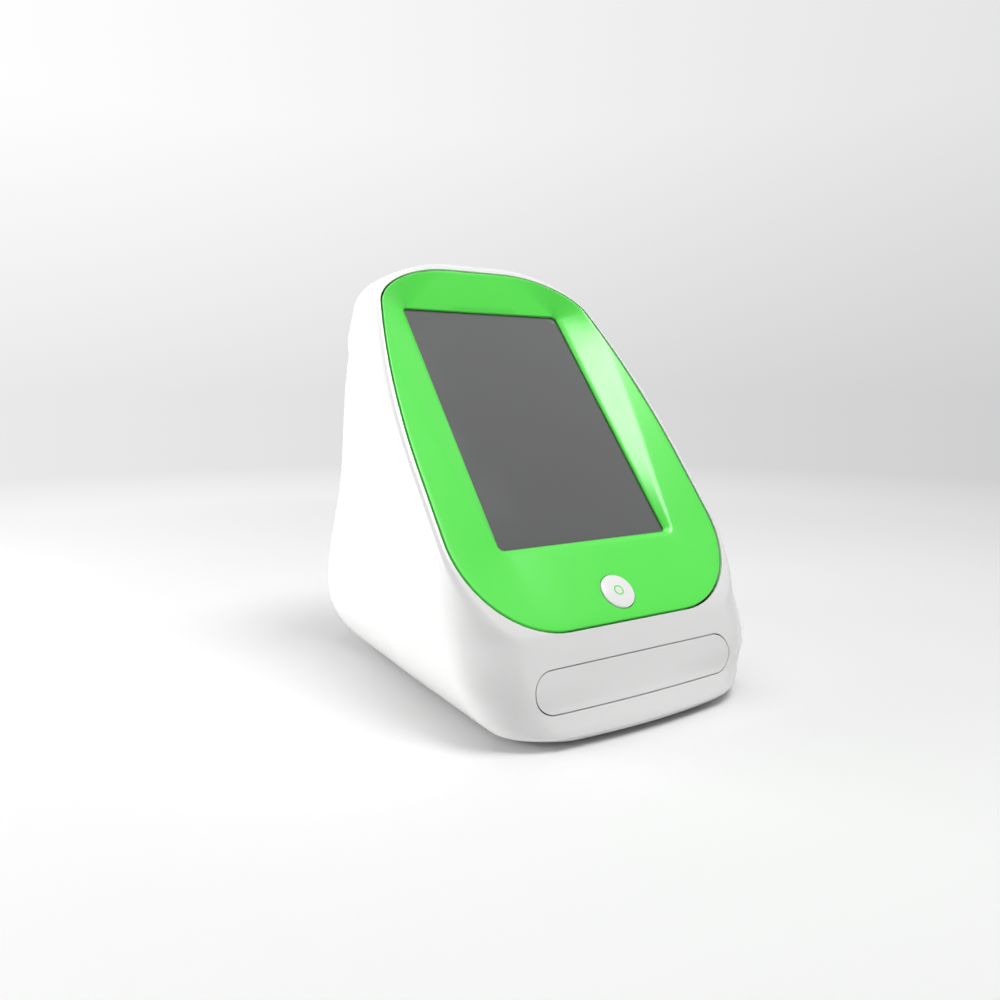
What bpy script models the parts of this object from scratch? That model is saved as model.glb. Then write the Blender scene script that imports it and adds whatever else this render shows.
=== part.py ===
"""Desktop immunoassay analyser: a white wedge-shaped casing, a green dished bezel round a portrait
touch screen, a round key below it and a motor-driven cassette drawer at the foot of the front.

Metres, +Z up, the front towards -Y, the origin on the table under the middle of the casing."""

from math import acos, atan2, cos, pi, radians, sin, sqrt, tan

import bmesh
import bpy
from mathutils import Matrix, Vector

# Clearances
FIT = 0.0003
PART_LINE = 0.0005
RUNNING = 0.0003
OVERRUN = 0.002

# Casing
WALL = 0.0025
FOOT_HEIGHT = 0.003
BODY_DEPTH = 0.231
BODY_HEIGHT = 0.227
TAIL_DRAW = 0.0028
TUCK_HEIGHT = 0.028
TUCK_DEPTH = 0.0205
TUCK_POWER = 1.6
NOSE_CORNER_RUN = 0.030
NOSE_CORNER_RISE = 0.038
SHOULDER_HEIGHT = 0.080
REAR_CORNER_RUN = 0.034
REAR_CORNER_DEPTH = 0.030
EDGE_ROUND = 0.003
FRONT_BULGE = 0.005
REAR_CORNER_LIMIT_SHARE = 0.45
SIDE_SPREAD_POWER = 1.5
# Height and depth of the back's profile, as shares of the body's height and depth
BACK_HEIGHT_SHARES = (
    0.0, 0.03, 0.09, 0.15, 0.21, 0.31, 0.40, 0.49, 0.60, 0.77, 0.86, 0.93, 0.97, 0.99, 1.0,
)
BACK_DEPTH_SHARES = (
    0.860, 0.915, 0.972, 1.0, 0.993, 0.950, 0.903, 0.870, 0.858, 0.870, 0.870, 0.857, 0.834, 0.807, 0.775,
)
# Height and depth of the front below the bezel, as shares of that front's height and overhang
NOSE_HEIGHT_SHARES = (0.0, 0.07, 0.14, 0.28, 0.50, 0.69, 1.0)
NOSE_DEPTH_SHARES = (0.14, 0.0, 0.12, 0.39, 0.60, 0.74, 1.0)

# Screen window in the bezel
WINDOW_SIDE_BORDER = 0.0305
WINDOW_LOW_BORDER = 0.047
WINDOW_HIGH_BORDER = 0.0235
WINDOW_CORNER = 0.003

# Bezel rim: its foot from the body's front and the table, its top from the body's top and back
RIM_FOOT_SETBACK = 0.01589
RIM_FOOT_HEIGHT = 0.04825
RIM_TOP_DROP = 0.00361
RIDGE_THICKNESS = 0.01677
RIM_HALF_WIDTH = 0.083
RIM_WIDEST_RISE = 0.090
RIM_SIDE_DRAW = 0.0206
RIM_LOW_CORNER_RUN = 0.04725
RIM_LOW_CORNER_RISE = 0.0525
RIM_HIGH_CORNER_RUN = 0.045
RIM_HIGH_CORNER_RISE = 0.0294
RIM_STAND_LOW = 0.0063
RIM_STAND_HIGH = 0.0113
RIM_LAND = 0.0032
BEZEL_WALL = 0.002
BEZEL_SKIRT = 0.006
BEZEL_LIP = 0.0012
BEZEL_WALL_LOW_SHARE = 0.06
BEZEL_WALL_HIGH_SHARE = 1.06
BEZEL_KNEE_LEAST_SHARE = 0.06
BEZEL_KNEE_FALL_SHARE = 0.6
BEZEL_FACE_SHARES = (0.0, 0.5, 1.0)
BEZEL_WALL_SHARES = (0.33, 0.67, 1.0)
BEZEL_BACK_SHARES = (0.78, 0.45, 0.12)
BEZEL_BOSS_RADIUS = 0.0032
BEZEL_BOSS_SINK_SHARES = (0.5, 1.5)
BEZEL_BOSS_REACH = 0.009
BEZEL_BOSS_LOW = 0.008
BEZEL_BOSS_HIGH = -0.010

# Screen stack, from the glass inwards
GLASS_THICKNESS = 0.002
GLASS_LAP = 0.0035
GASKET_THICKNESS = 0.0008
GASKET_WIDTH = 0.003
PANEL_THICKNESS = 0.0042
BRACKET_THICKNESS = 0.0015
BRACKET_BORDER = 0.005
BRACKET_WINDOW_WIDTH = 0.070
BRACKET_WINDOW_HEIGHT = 0.110
BRACKET_TAIL = 0.034
BRACKET_TAIL_WIDTH = 0.044

# Home key
KEY_DIAMETER = 0.0184
KEY_RISE = 0.016
KEY_PROUD = 0.0008
KEY_CROWN = 0.0006
KEY_CAP = 0.0032
KEY_STEM_RADIUS = 0.0025
KEY_TRAVEL = 0.0008
KEY_PLAY = 0.0004
PLUNGER_RADIUS = 0.0017
PLUNGER_BORE = 0.0020
PLUNGER_DEPTH = 0.0010
SWITCH_SIZE = 0.006
SWITCH_HEIGHT = 0.0035
KEY_BOARD_WIDTH = 0.038
KEY_BOARD_HEIGHT = 0.020

# Screws, feet and posts
SCREW_RADIUS = 0.0015
SCREW_HEAD_RADIUS = 0.0028
SCREW_HEAD_HEIGHT = 0.0015
SCREW_LENGTH = 0.0055
SCREW_FIT = 0.0003
BASE_THICKNESS = 0.003
POST_HALF_WIDTH = 0.006
POST_SIDE_SETBACK = 0.0302
POST_FRONT_SETBACK = 0.0535
POST_REAR_SETBACK = 0.0735
FOOT_RADIUS = 0.007
FOOT_SIDE_SETBACK = 0.0342
FOOT_FRONT_SETBACK = 0.0375
FOOT_REAR_SETBACK = 0.0495

# Drawer
DRAWER_HEIGHT = 0.0247
DRAWER_FRONT_WIDTH = 0.118
DRAWER_FRONT_HEIGHT = 0.0184
DRAWER_FRONT_THICKNESS = 0.004
DRAWER_LINE = 0.0006
TRAY_HALF_WIDTH = 0.0515
TRAY_LENGTH = 0.084
TRAY_LOW = 0.0060
TRAY_HIGH = 0.0055
TRAY_FLOOR = 0.0030
TRAY_WALL = 0.0020
BAY_COUNT = 4
BAY_WIDTH = 0.0215
BAY_END_WALL = 0.006
SLIDE_WIDTH = 0.004
SLIDE_HEIGHT = 0.008
SLIDE_REAR_GAP = 0.0019
RAIL_WALL = 0.0015
RAIL_REAR_GAP = 0.008
RAIL_SETBACK = 0.004
CHASSIS_THICKNESS = 0.0015
CHASSIS_RISE = 0.0045
CHASSIS_TOP = 0.0345
CHASSIS_REAR_GAP = 0.0133
PAD_RADIUS = 0.004
PAD_SIDE_SETBACK = 0.0347

# Drawer drive
GEAR_MODULE = 0.0008
TOOTH_TIP_SHARE = 0.9
TOOTH_ROOT_SHARE = 1.2
PINION_TEETH = 14
RACK_BACK = 0.0022
RACK_HEIGHT = 0.006
PRESSURE_ANGLE = radians(20.0)
BACKLASH = 0.00022
GEAR_RADIAL_GAP = 0.0002
PINION_SETBACK = 0.0145
MOTOR_RADIUS = 0.010
MOTOR_LENGTH = 0.018
MOTOR_SHAFT_RADIUS = 0.001
SHAFT_FIT = 0.0001
BRACKET_PLATE = 0.0015
MOTOR_FACE = 0.0350
DRIVE_LEG = 0.003

# Reading head
ROD_RADIUS = 0.0025
ROD_HEIGHT = 0.0560
ROD_SPAN = 0.032
HEAD_SETBACK = 0.0615
HEAD_GAP = 0.005
SUPPORT_THICKNESS = 0.004
SUPPORT_TOP = 0.0075
SCREW_DRIVE_RADIUS = 0.003
CARRIAGE_WIDTH = 0.026
CARRIAGE_LENGTH = 0.042
CARRIAGE_RISE = 0.006
CARRIAGE_DROP = 0.005
HEAD_WIDTH = 0.020
HEAD_LENGTH = 0.024
HEAD_DROP = 0.0105
LENS_RADIUS = 0.004
LENS_LENGTH = 0.003
SCAN_MOTOR_RADIUS = 0.0095
SCAN_MOTOR_LENGTH = 0.013
ROD_PLAY = 0.0001

# Main board
TRAY_PLATE_THICKNESS = 0.0015
TRAY_PLATE_GAP = 0.002
TRAY_PLATE_REAR_GAP = 0.0157
STANDOFF_RADIUS = 0.003
STANDOFF_HEIGHT = 0.008
BOARD_MARGIN = 0.004
BOARD_THICKNESS = 0.0016
CABLE_HALF_WIDTH = 0.010
CABLE_THICKNESS = 0.0005
CABLE_SLACK = 0.012

# Rear cover and connector bay
COVER_HALF_WIDTH = 0.056
COVER_LOW = 0.014
COVER_HIGH = 0.152
COVER_TAB_HALF = 0.006
COVER_TAB_THICKNESS = 0.004
COVER_TAB_LAP = 0.016
COVER_TAB_ROOT = 0.007
COVER_TAB_REACH = 0.044
VENT_COUNT = 7
VENT_PITCH = 0.011
VENT_WIDTH = 0.0035
VENT_LOW = 0.072
VENT_HIGH = 0.118
BAY_HALF_WIDTH = 0.048
BAY_LOW = 0.021
BAY_HIGH = 0.045
BAY_DEPTH = 0.017
BAY_WALL = 0.002
PLATE_THICKNESS = 0.0015
SOCKET_DEPTH = 0.012
SOCKET_PROUD = 0.001
SOCKET_WALL = 0.001
INLET_RADIUS = 0.0055
INLET_BORE = 0.0032
INLET_PLACE_SHARE = 0.80
USB_WIDTH = 0.0148
USB_HEIGHT = 0.0070
USB_PLACE_SHARES = (0.42, 0.02)
NETWORK_WIDTH = 0.0160
NETWORK_HEIGHT = 0.0135
NETWORK_PLACE_SHARE = -0.36
SWITCH_PLACE_SHARE = -0.76
SWITCH_FRAME_WIDTH = 0.0150
SWITCH_FRAME_HEIGHT = 0.0210
SWITCH_RIM = 0.0012
ROCKER_THICKNESS = 0.0030
ROCKER_TILT = radians(6.0)
ROCKER_PLAY = 0.0005
ROCKER_HEEL = 0.0012
ROCKER_DIP = 0.0006

# Facets
RUN_STEPS = 4
CORNER_STEPS = 6
SIDE_STEPS = 7
EDGE_STEPS = 3
SHELL_HEIGHT_SHARES = (
    0.0, 0.006, 0.014, 0.026, 0.042, 0.066, 0.11, 0.15, 0.199, 0.24, 0.29, 0.35, 0.42, 0.50, 0.58, 0.66,
    0.74, 0.81, 0.865, 0.91, 0.945, 0.97, 0.985, 0.995, 1.0,
)
HOLLOW_HEIGHT_SHARES = (
    0.0, 0.026, 0.066, 0.11, 0.15, 0.199, 0.29, 0.40, 0.50, 0.62, 0.74, 0.84, 0.91, 0.955, 0.98,
)
ROUND_STEPS = 24

# Colours and finishes: base colour, roughness, metallic
WHITE = ((0.86, 0.86, 0.85, 1.0), 0.22, 0.0)
GREEN = ((0.11, 0.78, 0.08, 1.0), 0.15, 0.0)
GLASS = ((0.05, 0.05, 0.055, 1.0), 0.08, 0.0)
RUBBER = ((0.03, 0.03, 0.03, 1.0), 0.8, 0.0)
STEEL = ((0.55, 0.56, 0.57, 1.0), 0.35, 1.0)
BRASS = ((0.65, 0.50, 0.22, 1.0), 0.3, 1.0)
BLACK = ((0.02, 0.02, 0.022, 1.0), 0.5, 0.0)
GREY = ((0.30, 0.31, 0.32, 1.0), 0.5, 0.0)
BOARD = ((0.02, 0.16, 0.06, 1.0), 0.45, 0.0)
NATURAL = ((0.75, 0.75, 0.70, 1.0), 0.5, 0.0)

BODY_BOTTOM = FOOT_HEIGHT
BODY_TOP = FOOT_HEIGHT + BODY_HEIGHT
BODY_FRONT = -BODY_DEPTH / 2
BODY_BACK = BODY_DEPTH / 2
HALF_WIDTH = RIM_HALF_WIDTH + RIM_LAND
POST_REACH = HALF_WIDTH - POST_SIDE_SETBACK
FOOT_REACH = HALF_WIDTH - FOOT_SIDE_SETBACK
POST_FRONT = BODY_FRONT + POST_FRONT_SETBACK
POST_REAR = BODY_BACK - POST_REAR_SETBACK
FOOT_FRONT = BODY_FRONT + FOOT_FRONT_SETBACK
FOOT_REAR = BODY_BACK - FOOT_REAR_SETBACK
BAY_FRONT = BODY_BACK - BAY_DEPTH - PLATE_THICKNESS
CHASSIS_REAR = BAY_FRONT - CHASSIS_REAR_GAP

# The screen leans as the rim does, from the nose to the ridge, and is parallel to its mean stand
RIM_RUN = BODY_DEPTH * BACK_DEPTH_SHARES[-1] - RIDGE_THICKNESS - RIM_FOOT_SETBACK
RIM_CLIMB = BODY_TOP - RIM_TOP_DROP - RIM_FOOT_HEIGHT
RIM_LENGTH = sqrt(RIM_RUN**2 + RIM_CLIMB**2 - (RIM_STAND_HIGH - RIM_STAND_LOW) ** 2)
SCREEN_LEAN = atan2(RIM_RUN, RIM_CLIMB) + atan2(RIM_STAND_HIGH - RIM_STAND_LOW, RIM_LENGTH)
WINDOW_WIDTH = 2 * (RIM_HALF_WIDTH - WINDOW_SIDE_BORDER)
WINDOW_HEIGHT = RIM_LENGTH - WINDOW_LOW_BORDER - WINDOW_HIGH_BORDER
RIM_BOTTOM = -WINDOW_HEIGHT / 2 - WINDOW_LOW_BORDER
RIM_TOP = WINDOW_HEIGHT / 2 + WINDOW_HIGH_BORDER
RIM_WIDEST = RIM_BOTTOM + RIM_WIDEST_RISE
KEY_DROP = -RIM_BOTTOM - KEY_RISE
SCREEN_UP = Vector((0.0, sin(SCREEN_LEAN), cos(SCREEN_LEAN)))
SCREEN_OUT = Vector((0.0, -cos(SCREEN_LEAN), sin(SCREEN_LEAN)))
SCREEN_SIDE = Vector((1.0, 0.0, 0.0))
RIM_FOOT = Vector((0.0, BODY_FRONT + RIM_FOOT_SETBACK, RIM_FOOT_HEIGHT))
SCREEN_CENTRE = RIM_FOOT - RIM_BOTTOM * SCREEN_UP - RIM_STAND_LOW * SCREEN_OUT


def clear_scene():
    for obj in list(bpy.data.objects):
        bpy.data.objects.remove(obj, do_unlink=True)


def material(name, finish):
    """A Principled material with the piece's colour, roughness and metallic value."""
    colour, roughness, metallic = finish
    made = bpy.data.materials.new(name)
    made.use_nodes = True
    shader = made.node_tree.nodes["Principled BSDF"]
    shader.inputs["Base Color"].default_value = colour
    shader.inputs["Roughness"].default_value = roughness
    shader.inputs["Metallic"].default_value = metallic
    return made


def add(name, points, faces, finish=None, origin=(0.0, 0.0, 0.0)):
    """A mesh object from world points, with its origin at the given place; a cutter without a finish."""
    mesh = bpy.data.meshes.new(name)
    offset = Vector(origin)
    mesh.from_pydata([Vector(point) - offset for point in points], [], faces)
    shaped = bmesh.new()
    shaped.from_mesh(mesh)
    bmesh.ops.recalc_face_normals(shaped, faces=shaped.faces)
    shaped.to_mesh(mesh)
    shaped.free()
    obj = bpy.data.objects.new(name, mesh)
    obj.location = offset
    bpy.context.scene.collection.objects.link(obj)
    if finish is None:
        obj.hide_render = True
        obj.display_type = "WIRE"
    else:
        mesh.materials.append(material(name, finish))
        mesh.shade_smooth()
        mesh.set_sharp_from_angle(angle=radians(35.0))
    return obj


def cut(target, cutter, operation="DIFFERENCE"):
    modifier = target.modifiers.new(cutter.name, "BOOLEAN")
    modifier.object = cutter
    modifier.operation = operation
    modifier.solver = "EXACT"
    return target


def ring_faces(rings, count, ends=True, loop=False):
    """Quads between successive rings of one size, with capped ends or closed round on themselves."""
    faces = []
    for ring in range(rings - 1 + int(loop)):
        low = ring * count
        high = ((ring + 1) % rings) * count
        for step in range(count):
            after = (step + 1) % count
            faces.append((low + step, low + after, high + after, high + step))
    if ends:
        faces.append(tuple(range(count)))
        faces.append(tuple(range((rings - 1) * count, rings * count)))
    return faces


def box(name, low, high, finish=None, origin=(0.0, 0.0, 0.0)):
    corners = [
        (x, y, z)
        for z in (low[2], high[2])
        for x, y in ((low[0], low[1]), (high[0], low[1]), (high[0], high[1]), (low[0], high[1]))
    ]
    return add(name, corners, ring_faces(2, 4), finish, origin)


def prism(name, outline, place, finish=None, origin=(0.0, 0.0, 0.0)):
    """An outline carried to its two ends: place(point, end) gives the world point at end 0 or 1."""
    points = [place(point, end) for end in (0, 1) for point in outline]
    return add(name, points, ring_faces(2, len(outline)), finish, origin)


def turned(name, profile, start, axis, finish=None, origin=(0.0, 0.0, 0.0), steps=ROUND_STEPS):
    """A solid turned about an axis: profile lists (radius, distance) from its first end to its last."""
    along = Vector(axis).normalized()
    turn = along.to_track_quat("Z", "Y").to_matrix()
    points = []
    for radius, distance in profile:
        for step in range(steps):
            angle = 2 * pi * step / steps
            local = Vector((radius * cos(angle), radius * sin(angle), distance))
            points.append(Vector(start) + turn @ local)
    return add(name, points, ring_faces(len(profile), steps), finish, origin)


def rod(name, start, axis, radius, length, finish=None, origin=(0.0, 0.0, 0.0), steps=ROUND_STEPS):
    return turned(name, ((radius, 0.0), (radius, length)), start, axis, finish, origin, steps)


def screw(name, seat, axis, finish=STEEL):
    """A pan-head screw: seat is under its head, axis points from the head into the work."""
    profile = (
        (SCREW_HEAD_RADIUS, -SCREW_HEAD_HEIGHT),
        (SCREW_HEAD_RADIUS, 0.0),
        (SCREW_RADIUS, 0.0),
        (SCREW_RADIUS, SCREW_LENGTH),
    )
    return turned(name, profile, seat, axis, finish, seat, ROUND_STEPS // 2)


def screw_bore(name, start, axis, length, radius=SCREW_RADIUS):
    return rod(name, start, axis, radius + SCREW_FIT, length, steps=ROUND_STEPS // 2)


def curve_at(place, knots, values):
    """A smooth curve through hand-chosen values, read at one place."""
    last = len(knots) - 2
    index = 0
    while index < last and place > knots[index + 1]:
        index += 1
    left = max(index - 1, 0)
    right = min(index + 2, last + 1)
    span = knots[index + 1] - knots[index]
    start_slope = (values[index + 1] - values[left]) / (knots[index + 1] - knots[left])
    end_slope = (values[right] - values[index]) / (knots[right] - knots[index])
    t = min(max((place - knots[index]) / span, 0.0), 1.0)
    return (
        (2 * t**3 - 3 * t**2 + 1) * values[index]
        + (t**3 - 2 * t**2 + t) * span * start_slope
        + (3 * t**2 - 2 * t**3) * values[index + 1]
        + (t**3 - t**2) * span * end_slope
    )


def on_screen(side, up, out):
    return SCREEN_CENTRE + side * SCREEN_SIDE + up * SCREEN_UP + out * SCREEN_OUT


def rim_stand(up):
    """How far the bezel's rim stands in front of the glass."""
    share = (up - RIM_BOTTOM) / (RIM_TOP - RIM_BOTTOM)
    return RIM_STAND_LOW + share * (RIM_STAND_HIGH - RIM_STAND_LOW)


def slope_at(value, axis):
    """The place along the rim's plane whose world coordinate on the given axis is value."""
    low = on_screen(0.0, RIM_BOTTOM, rim_stand(RIM_BOTTOM))[axis]
    high = on_screen(0.0, RIM_TOP, rim_stand(RIM_TOP))[axis]
    return RIM_BOTTOM + (value - low) / (high - low) * (RIM_TOP - RIM_BOTTOM)


def corner_loss(distance, run, rise, power=2.0):
    """How far an elliptical corner has drawn in at a distance beyond its start."""
    share = min(max(distance / rise, 0.0), 1.0)
    return run * (1 - (1 - share**power) ** (1 / power))


def high_loss(up, grow, crown):
    """What the outline loses in half-width above its widest place: it ends a crown above the rim."""
    lean = max(up - RIM_WIDEST, 0.0) / (RIM_TOP - RIM_WIDEST)
    start = RIM_TOP - RIM_HIGH_CORNER_RISE
    corner = corner_loss(up - start, RIM_HIGH_CORNER_RUN + grow, RIM_HIGH_CORNER_RISE + crown)
    return RIM_SIDE_DRAW * lean * lean + corner


def low_loss(up, grow):
    """What the outline loses in half-width towards its foot."""
    start = RIM_BOTTOM + RIM_LOW_CORNER_RISE
    return corner_loss(start - up, RIM_LOW_CORNER_RUN + grow, RIM_LOW_CORNER_RISE + grow)


def rim_outline(grow, run_steps=RUN_STEPS, corner_steps=CORNER_STEPS, side_steps=SIDE_STEPS):
    """The bezel's outline as (side, up) points, anticlockwise from the middle of its foot."""
    half = RIM_HALF_WIDTH + grow
    low_end = RIM_BOTTOM - grow
    high_end = RIM_TOP + grow
    low_start = RIM_BOTTOM + RIM_LOW_CORNER_RISE
    high_start = RIM_TOP - RIM_HIGH_CORNER_RISE
    right = []
    run = half - RIM_LOW_CORNER_RUN - grow
    for step in range(run_steps):
        right.append((run * step / run_steps, low_end))
    for step in range(corner_steps):
        angle = pi / 2 * step / corner_steps
        up = low_start - (low_start - low_end) * cos(angle)
        right.append((half - low_loss(up, grow), up))
    for step in range(side_steps):
        up = low_start + (high_start - low_start) * step / side_steps
        right.append((half - high_loss(up, grow, grow), up))
    for step in range(corner_steps):
        angle = pi / 2 * step / corner_steps
        up = high_start + (high_end - high_start) * sin(angle)
        right.append((half - high_loss(up, grow, grow), up))
    run = half - high_loss(high_end, grow, grow)
    for step in range(run_steps + 1):
        right.append((run * (1 - step / run_steps), high_end))
    left = [(-side, up) for side, up in reversed(right[1:-1])]
    return right + left


def window_outline(grow, run_steps=RUN_STEPS, corner_steps=CORNER_STEPS, side_steps=SIDE_STEPS):
    """The screen window's outline, with as many points in each stretch as the rim's."""
    corner = WINDOW_CORNER + grow
    wide = WINDOW_WIDTH / 2 + grow - corner
    tall = WINDOW_HEIGHT / 2 + grow - corner
    right = [(wide * step / run_steps, -tall - corner) for step in range(run_steps)]
    for step in range(corner_steps):
        angle = pi / 2 * step / corner_steps
        right.append((wide + corner * sin(angle), -tall - corner * cos(angle)))
    for step in range(side_steps):
        right.append((wide + corner, -tall + 2 * tall * step / side_steps))
    for step in range(corner_steps):
        angle = pi / 2 * step / corner_steps
        right.append((wide + corner * cos(angle), tall + corner * sin(angle)))
    right += [(wide * (1 - step / run_steps), tall + corner) for step in range(run_steps + 1)]
    left = [(-side, up) for side, up in reversed(right[1:-1])]
    return right + left


def front_at(height):
    """The casing's foremost place at a height, on its middle line."""
    rim_foot = on_screen(0.0, RIM_BOTTOM, rim_stand(RIM_BOTTOM))
    if height >= rim_foot.z:
        rounding = max(EDGE_ROUND - (BODY_TOP - height), 0.0)
        inset = EDGE_ROUND - sqrt(EDGE_ROUND**2 - rounding**2)
        up = slope_at(height, 2)
        return on_screen(0.0, up, rim_stand(up)).y + inset
    share = (height - BODY_BOTTOM) / (rim_foot.z - BODY_BOTTOM)
    return BODY_FRONT + (rim_foot.y - BODY_FRONT) * curve_at(share, NOSE_HEIGHT_SHARES, NOSE_DEPTH_SHARES)


def back_at(height):
    share = (height - BODY_BOTTOM) / BODY_HEIGHT
    return BODY_FRONT + BODY_DEPTH * curve_at(share, BACK_HEIGHT_SHARES, BACK_DEPTH_SHARES)


def half_width_at(depth, height, drawn=0.0):
    """The casing's half-width at a place on its side, before the rear corner turns in."""
    rim_foot = on_screen(0.0, RIM_BOTTOM, rim_stand(RIM_BOTTOM))
    shift = rim_foot.y - front_at(height) if height < rim_foot.z else 0.0
    nose = max(slope_at(depth + shift - drawn, 1), RIM_BOTTOM)
    head = slope_at(height, 2)
    drawer_top = DRAWER_HEIGHT + DRAWER_FRONT_HEIGHT / 2
    fullness = min(max((SHOULDER_HEIGHT - height) / (SHOULDER_HEIGHT - drawer_top), 0.0), 1.0)
    fullness = fullness * fullness * (3 - 2 * fullness)
    run = RIM_LOW_CORNER_RUN + fullness * (NOSE_CORNER_RUN - RIM_LOW_CORNER_RUN) + RIM_LAND
    rise = RIM_LOW_CORNER_RISE + fullness * (NOSE_CORNER_RISE - RIM_LOW_CORNER_RISE)
    corner = corner_loss(RIM_BOTTOM + rise - nose, run, rise + RIM_LAND)
    taper = TAIL_DRAW * max(depth - SCREEN_CENTRE.y, 0.0) / (BODY_BACK - SCREEN_CENTRE.y)
    tuck = corner_loss(BODY_BOTTOM + TUCK_HEIGHT - height, TUCK_DEPTH, TUCK_HEIGHT, TUCK_POWER)
    high = high_loss(head, RIM_LAND, slope_at(BODY_TOP, 2) - RIM_TOP)
    return HALF_WIDTH - drawn - corner - high - taper - tuck


def section(height, drawn=0.0):
    """One level outline of the casing, or of the hollow drawn in from it, as (x, y) points from the
    middle of the front to the right."""
    front = front_at(height) + drawn
    back = back_at(height) - drawn
    share = min(max((height - BODY_BOTTOM) / (DRAWER_HEIGHT - BODY_BOTTOM), 0.0), 1.0)
    bulge = FRONT_BULGE * (1 - share)
    edge = min(EDGE_ROUND, (back - front) / 8)
    start = half_width_at(front, height, drawn)
    right = [(max(start - edge, 0.0) * step / RUN_STEPS, front) for step in range(RUN_STEPS)]
    after_edge = half_width_at(front + edge, height, drawn)
    for step in range(EDGE_STEPS):
        t = step / EDGE_STEPS
        side = (1 - t) ** 2 * (start - edge) + 2 * t * (1 - t) * start + t * t * after_edge
        right.append((side, front + t * t * edge))
    corner_depth = min(REAR_CORNER_DEPTH - drawn, (back - front) * REAR_CORNER_LIMIT_SHARE)
    turn = back - corner_depth
    for step in range(SIDE_STEPS):
        t = (step / SIDE_STEPS) ** SIDE_SPREAD_POWER
        depth = front + edge + (turn - front - edge) * t
        right.append((half_width_at(depth, height, drawn), depth))
    wide = half_width_at(turn, height, drawn)
    corner_run = min(REAR_CORNER_RUN - drawn, wide * (1 - REAR_CORNER_LIMIT_SHARE / 2))
    for step in range(CORNER_STEPS):
        angle = pi / 2 * step / CORNER_STEPS
        right.append((wide - corner_run * (1 - cos(angle)), turn + corner_depth * sin(angle)))
    flat = wide - corner_run
    right += [(flat * (1 - step / RUN_STEPS), back) for step in range(RUN_STEPS + 1)]
    bulged = []
    for side, depth in right:
        share = min(side / (DRAWER_FRONT_WIDTH / 2), 1.0)
        near = max(1 - (depth - front) / REAR_CORNER_DEPTH, 0.0)
        bulged.append((side, depth + bulge * share * share * near))
    left = [(-side, depth) for side, depth in reversed(bulged[1:-1])]
    return bulged + left


def body_solid(name, drawn, finish=None):
    """The casing's outer form or, drawn in by a wall, the hollow inside it, which runs out below."""
    rings = []
    shares = HOLLOW_HEIGHT_SHARES if drawn else SHELL_HEIGHT_SHARES
    for index, share in enumerate(shares):
        outer = BODY_BOTTOM + BODY_HEIGHT * share
        height = outer - drawn * share
        outline = section(outer, drawn)
        if drawn and index == 0:
            rings.append([(x, y, BODY_BOTTOM - OVERRUN) for x, y in outline])
        rings.append([(x, y, height) for x, y in outline])
    points = [point for ring in rings for point in ring]
    return add(name, points, ring_faces(len(rings), len(rings[0])), finish)


def pill(half_width, half_height, steps=8):
    """A slot outline with round ends, as (x, z) about its centre."""
    points = []
    for side in (1, -1):
        for step in range(steps + 1):
            angle = -pi / 2 + pi * step / steps
            across = half_width - half_height + half_height * cos(angle)
            points.append((side * across, side * half_height * sin(angle)))
    return points


def knee_place(up):
    """Where between rim (0) and window (1) the bezel's face turns down into the wall round the screen."""
    climb = (up + WINDOW_HEIGHT / 2) / WINDOW_HEIGHT
    wall = BEZEL_WALL_LOW_SHARE + climb * (BEZEL_WALL_HIGH_SHARE - BEZEL_WALL_LOW_SHARE)
    return max(1 - wall, BEZEL_KNEE_LEAST_SHARE)


def dish(t, knee):
    """The bezel's slope from its rim (0) to the window (1), as a share of its fall."""
    fall = BEZEL_KNEE_FALL_SHARE * knee
    if t < knee:
        return fall * t / knee
    return fall + (1 - fall) * (t - knee) / (1 - knee)


def bezel_point(rim, window, t, drop=0.0):
    side = rim[0] + (window[0] - rim[0]) * t
    up = rim[1] + (window[1] - rim[1]) * t
    stand = rim_stand(rim[1])
    out = stand + (BEZEL_LIP + FIT - stand) * dish(t, knee_place(window[1]))
    return Vector((side, up, out - drop))


def face_places(knee):
    """The bezel's rings between rim and window: along the face to its knee, then down the wall."""
    places = [share * knee for share in BEZEL_FACE_SHARES]
    return places + [knee + share * (1 - knee) for share in BEZEL_WALL_SHARES]


def dish_height(side, up):
    """The height of the bezel's face over the glass near a place."""
    best = None
    for rim, window in zip(rim_outline(-PART_LINE), window_outline(0.0)):
        for step in range(21):
            point = bezel_point(rim, window, step / 20)
            distance = (point.x - side) ** 2 + (point.y - up) ** 2
            if best is None or distance < best[0]:
                best = (distance, point.z)
    return best[1]


def boss_places():
    """The four screw places behind the bezel, as (side, up)."""
    reach = WINDOW_WIDTH / 2 + BEZEL_BOSS_REACH
    low = -WINDOW_HEIGHT / 2 - BEZEL_BOSS_LOW
    high = WINDOW_HEIGHT / 2 + BEZEL_BOSS_HIGH
    return [(-reach, low), (reach, low), (-reach, high), (reach, high)]


GLASS_BACK = -GLASS_THICKNESS
GASKET_BACK = GLASS_BACK - FIT - GASKET_THICKNESS
PANEL_BACK = GASKET_BACK - FIT - PANEL_THICKNESS
BRACKET_FRONT = PANEL_BACK - FIT
BRACKET_BACK = BRACKET_FRONT - BRACKET_THICKNESS


def rear_window(name, clearance):
    """The rear cover's opening as a cutter, drawn in by a clearance."""
    front = back_at(COVER_HIGH) - REAR_CORNER_DEPTH
    low = (-COVER_HALF_WIDTH + clearance, front, COVER_LOW + clearance)
    high = (COVER_HALF_WIDTH - clearance, BODY_BACK + OVERRUN, COVER_HIGH - clearance)
    return box(name, low, high)


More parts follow.
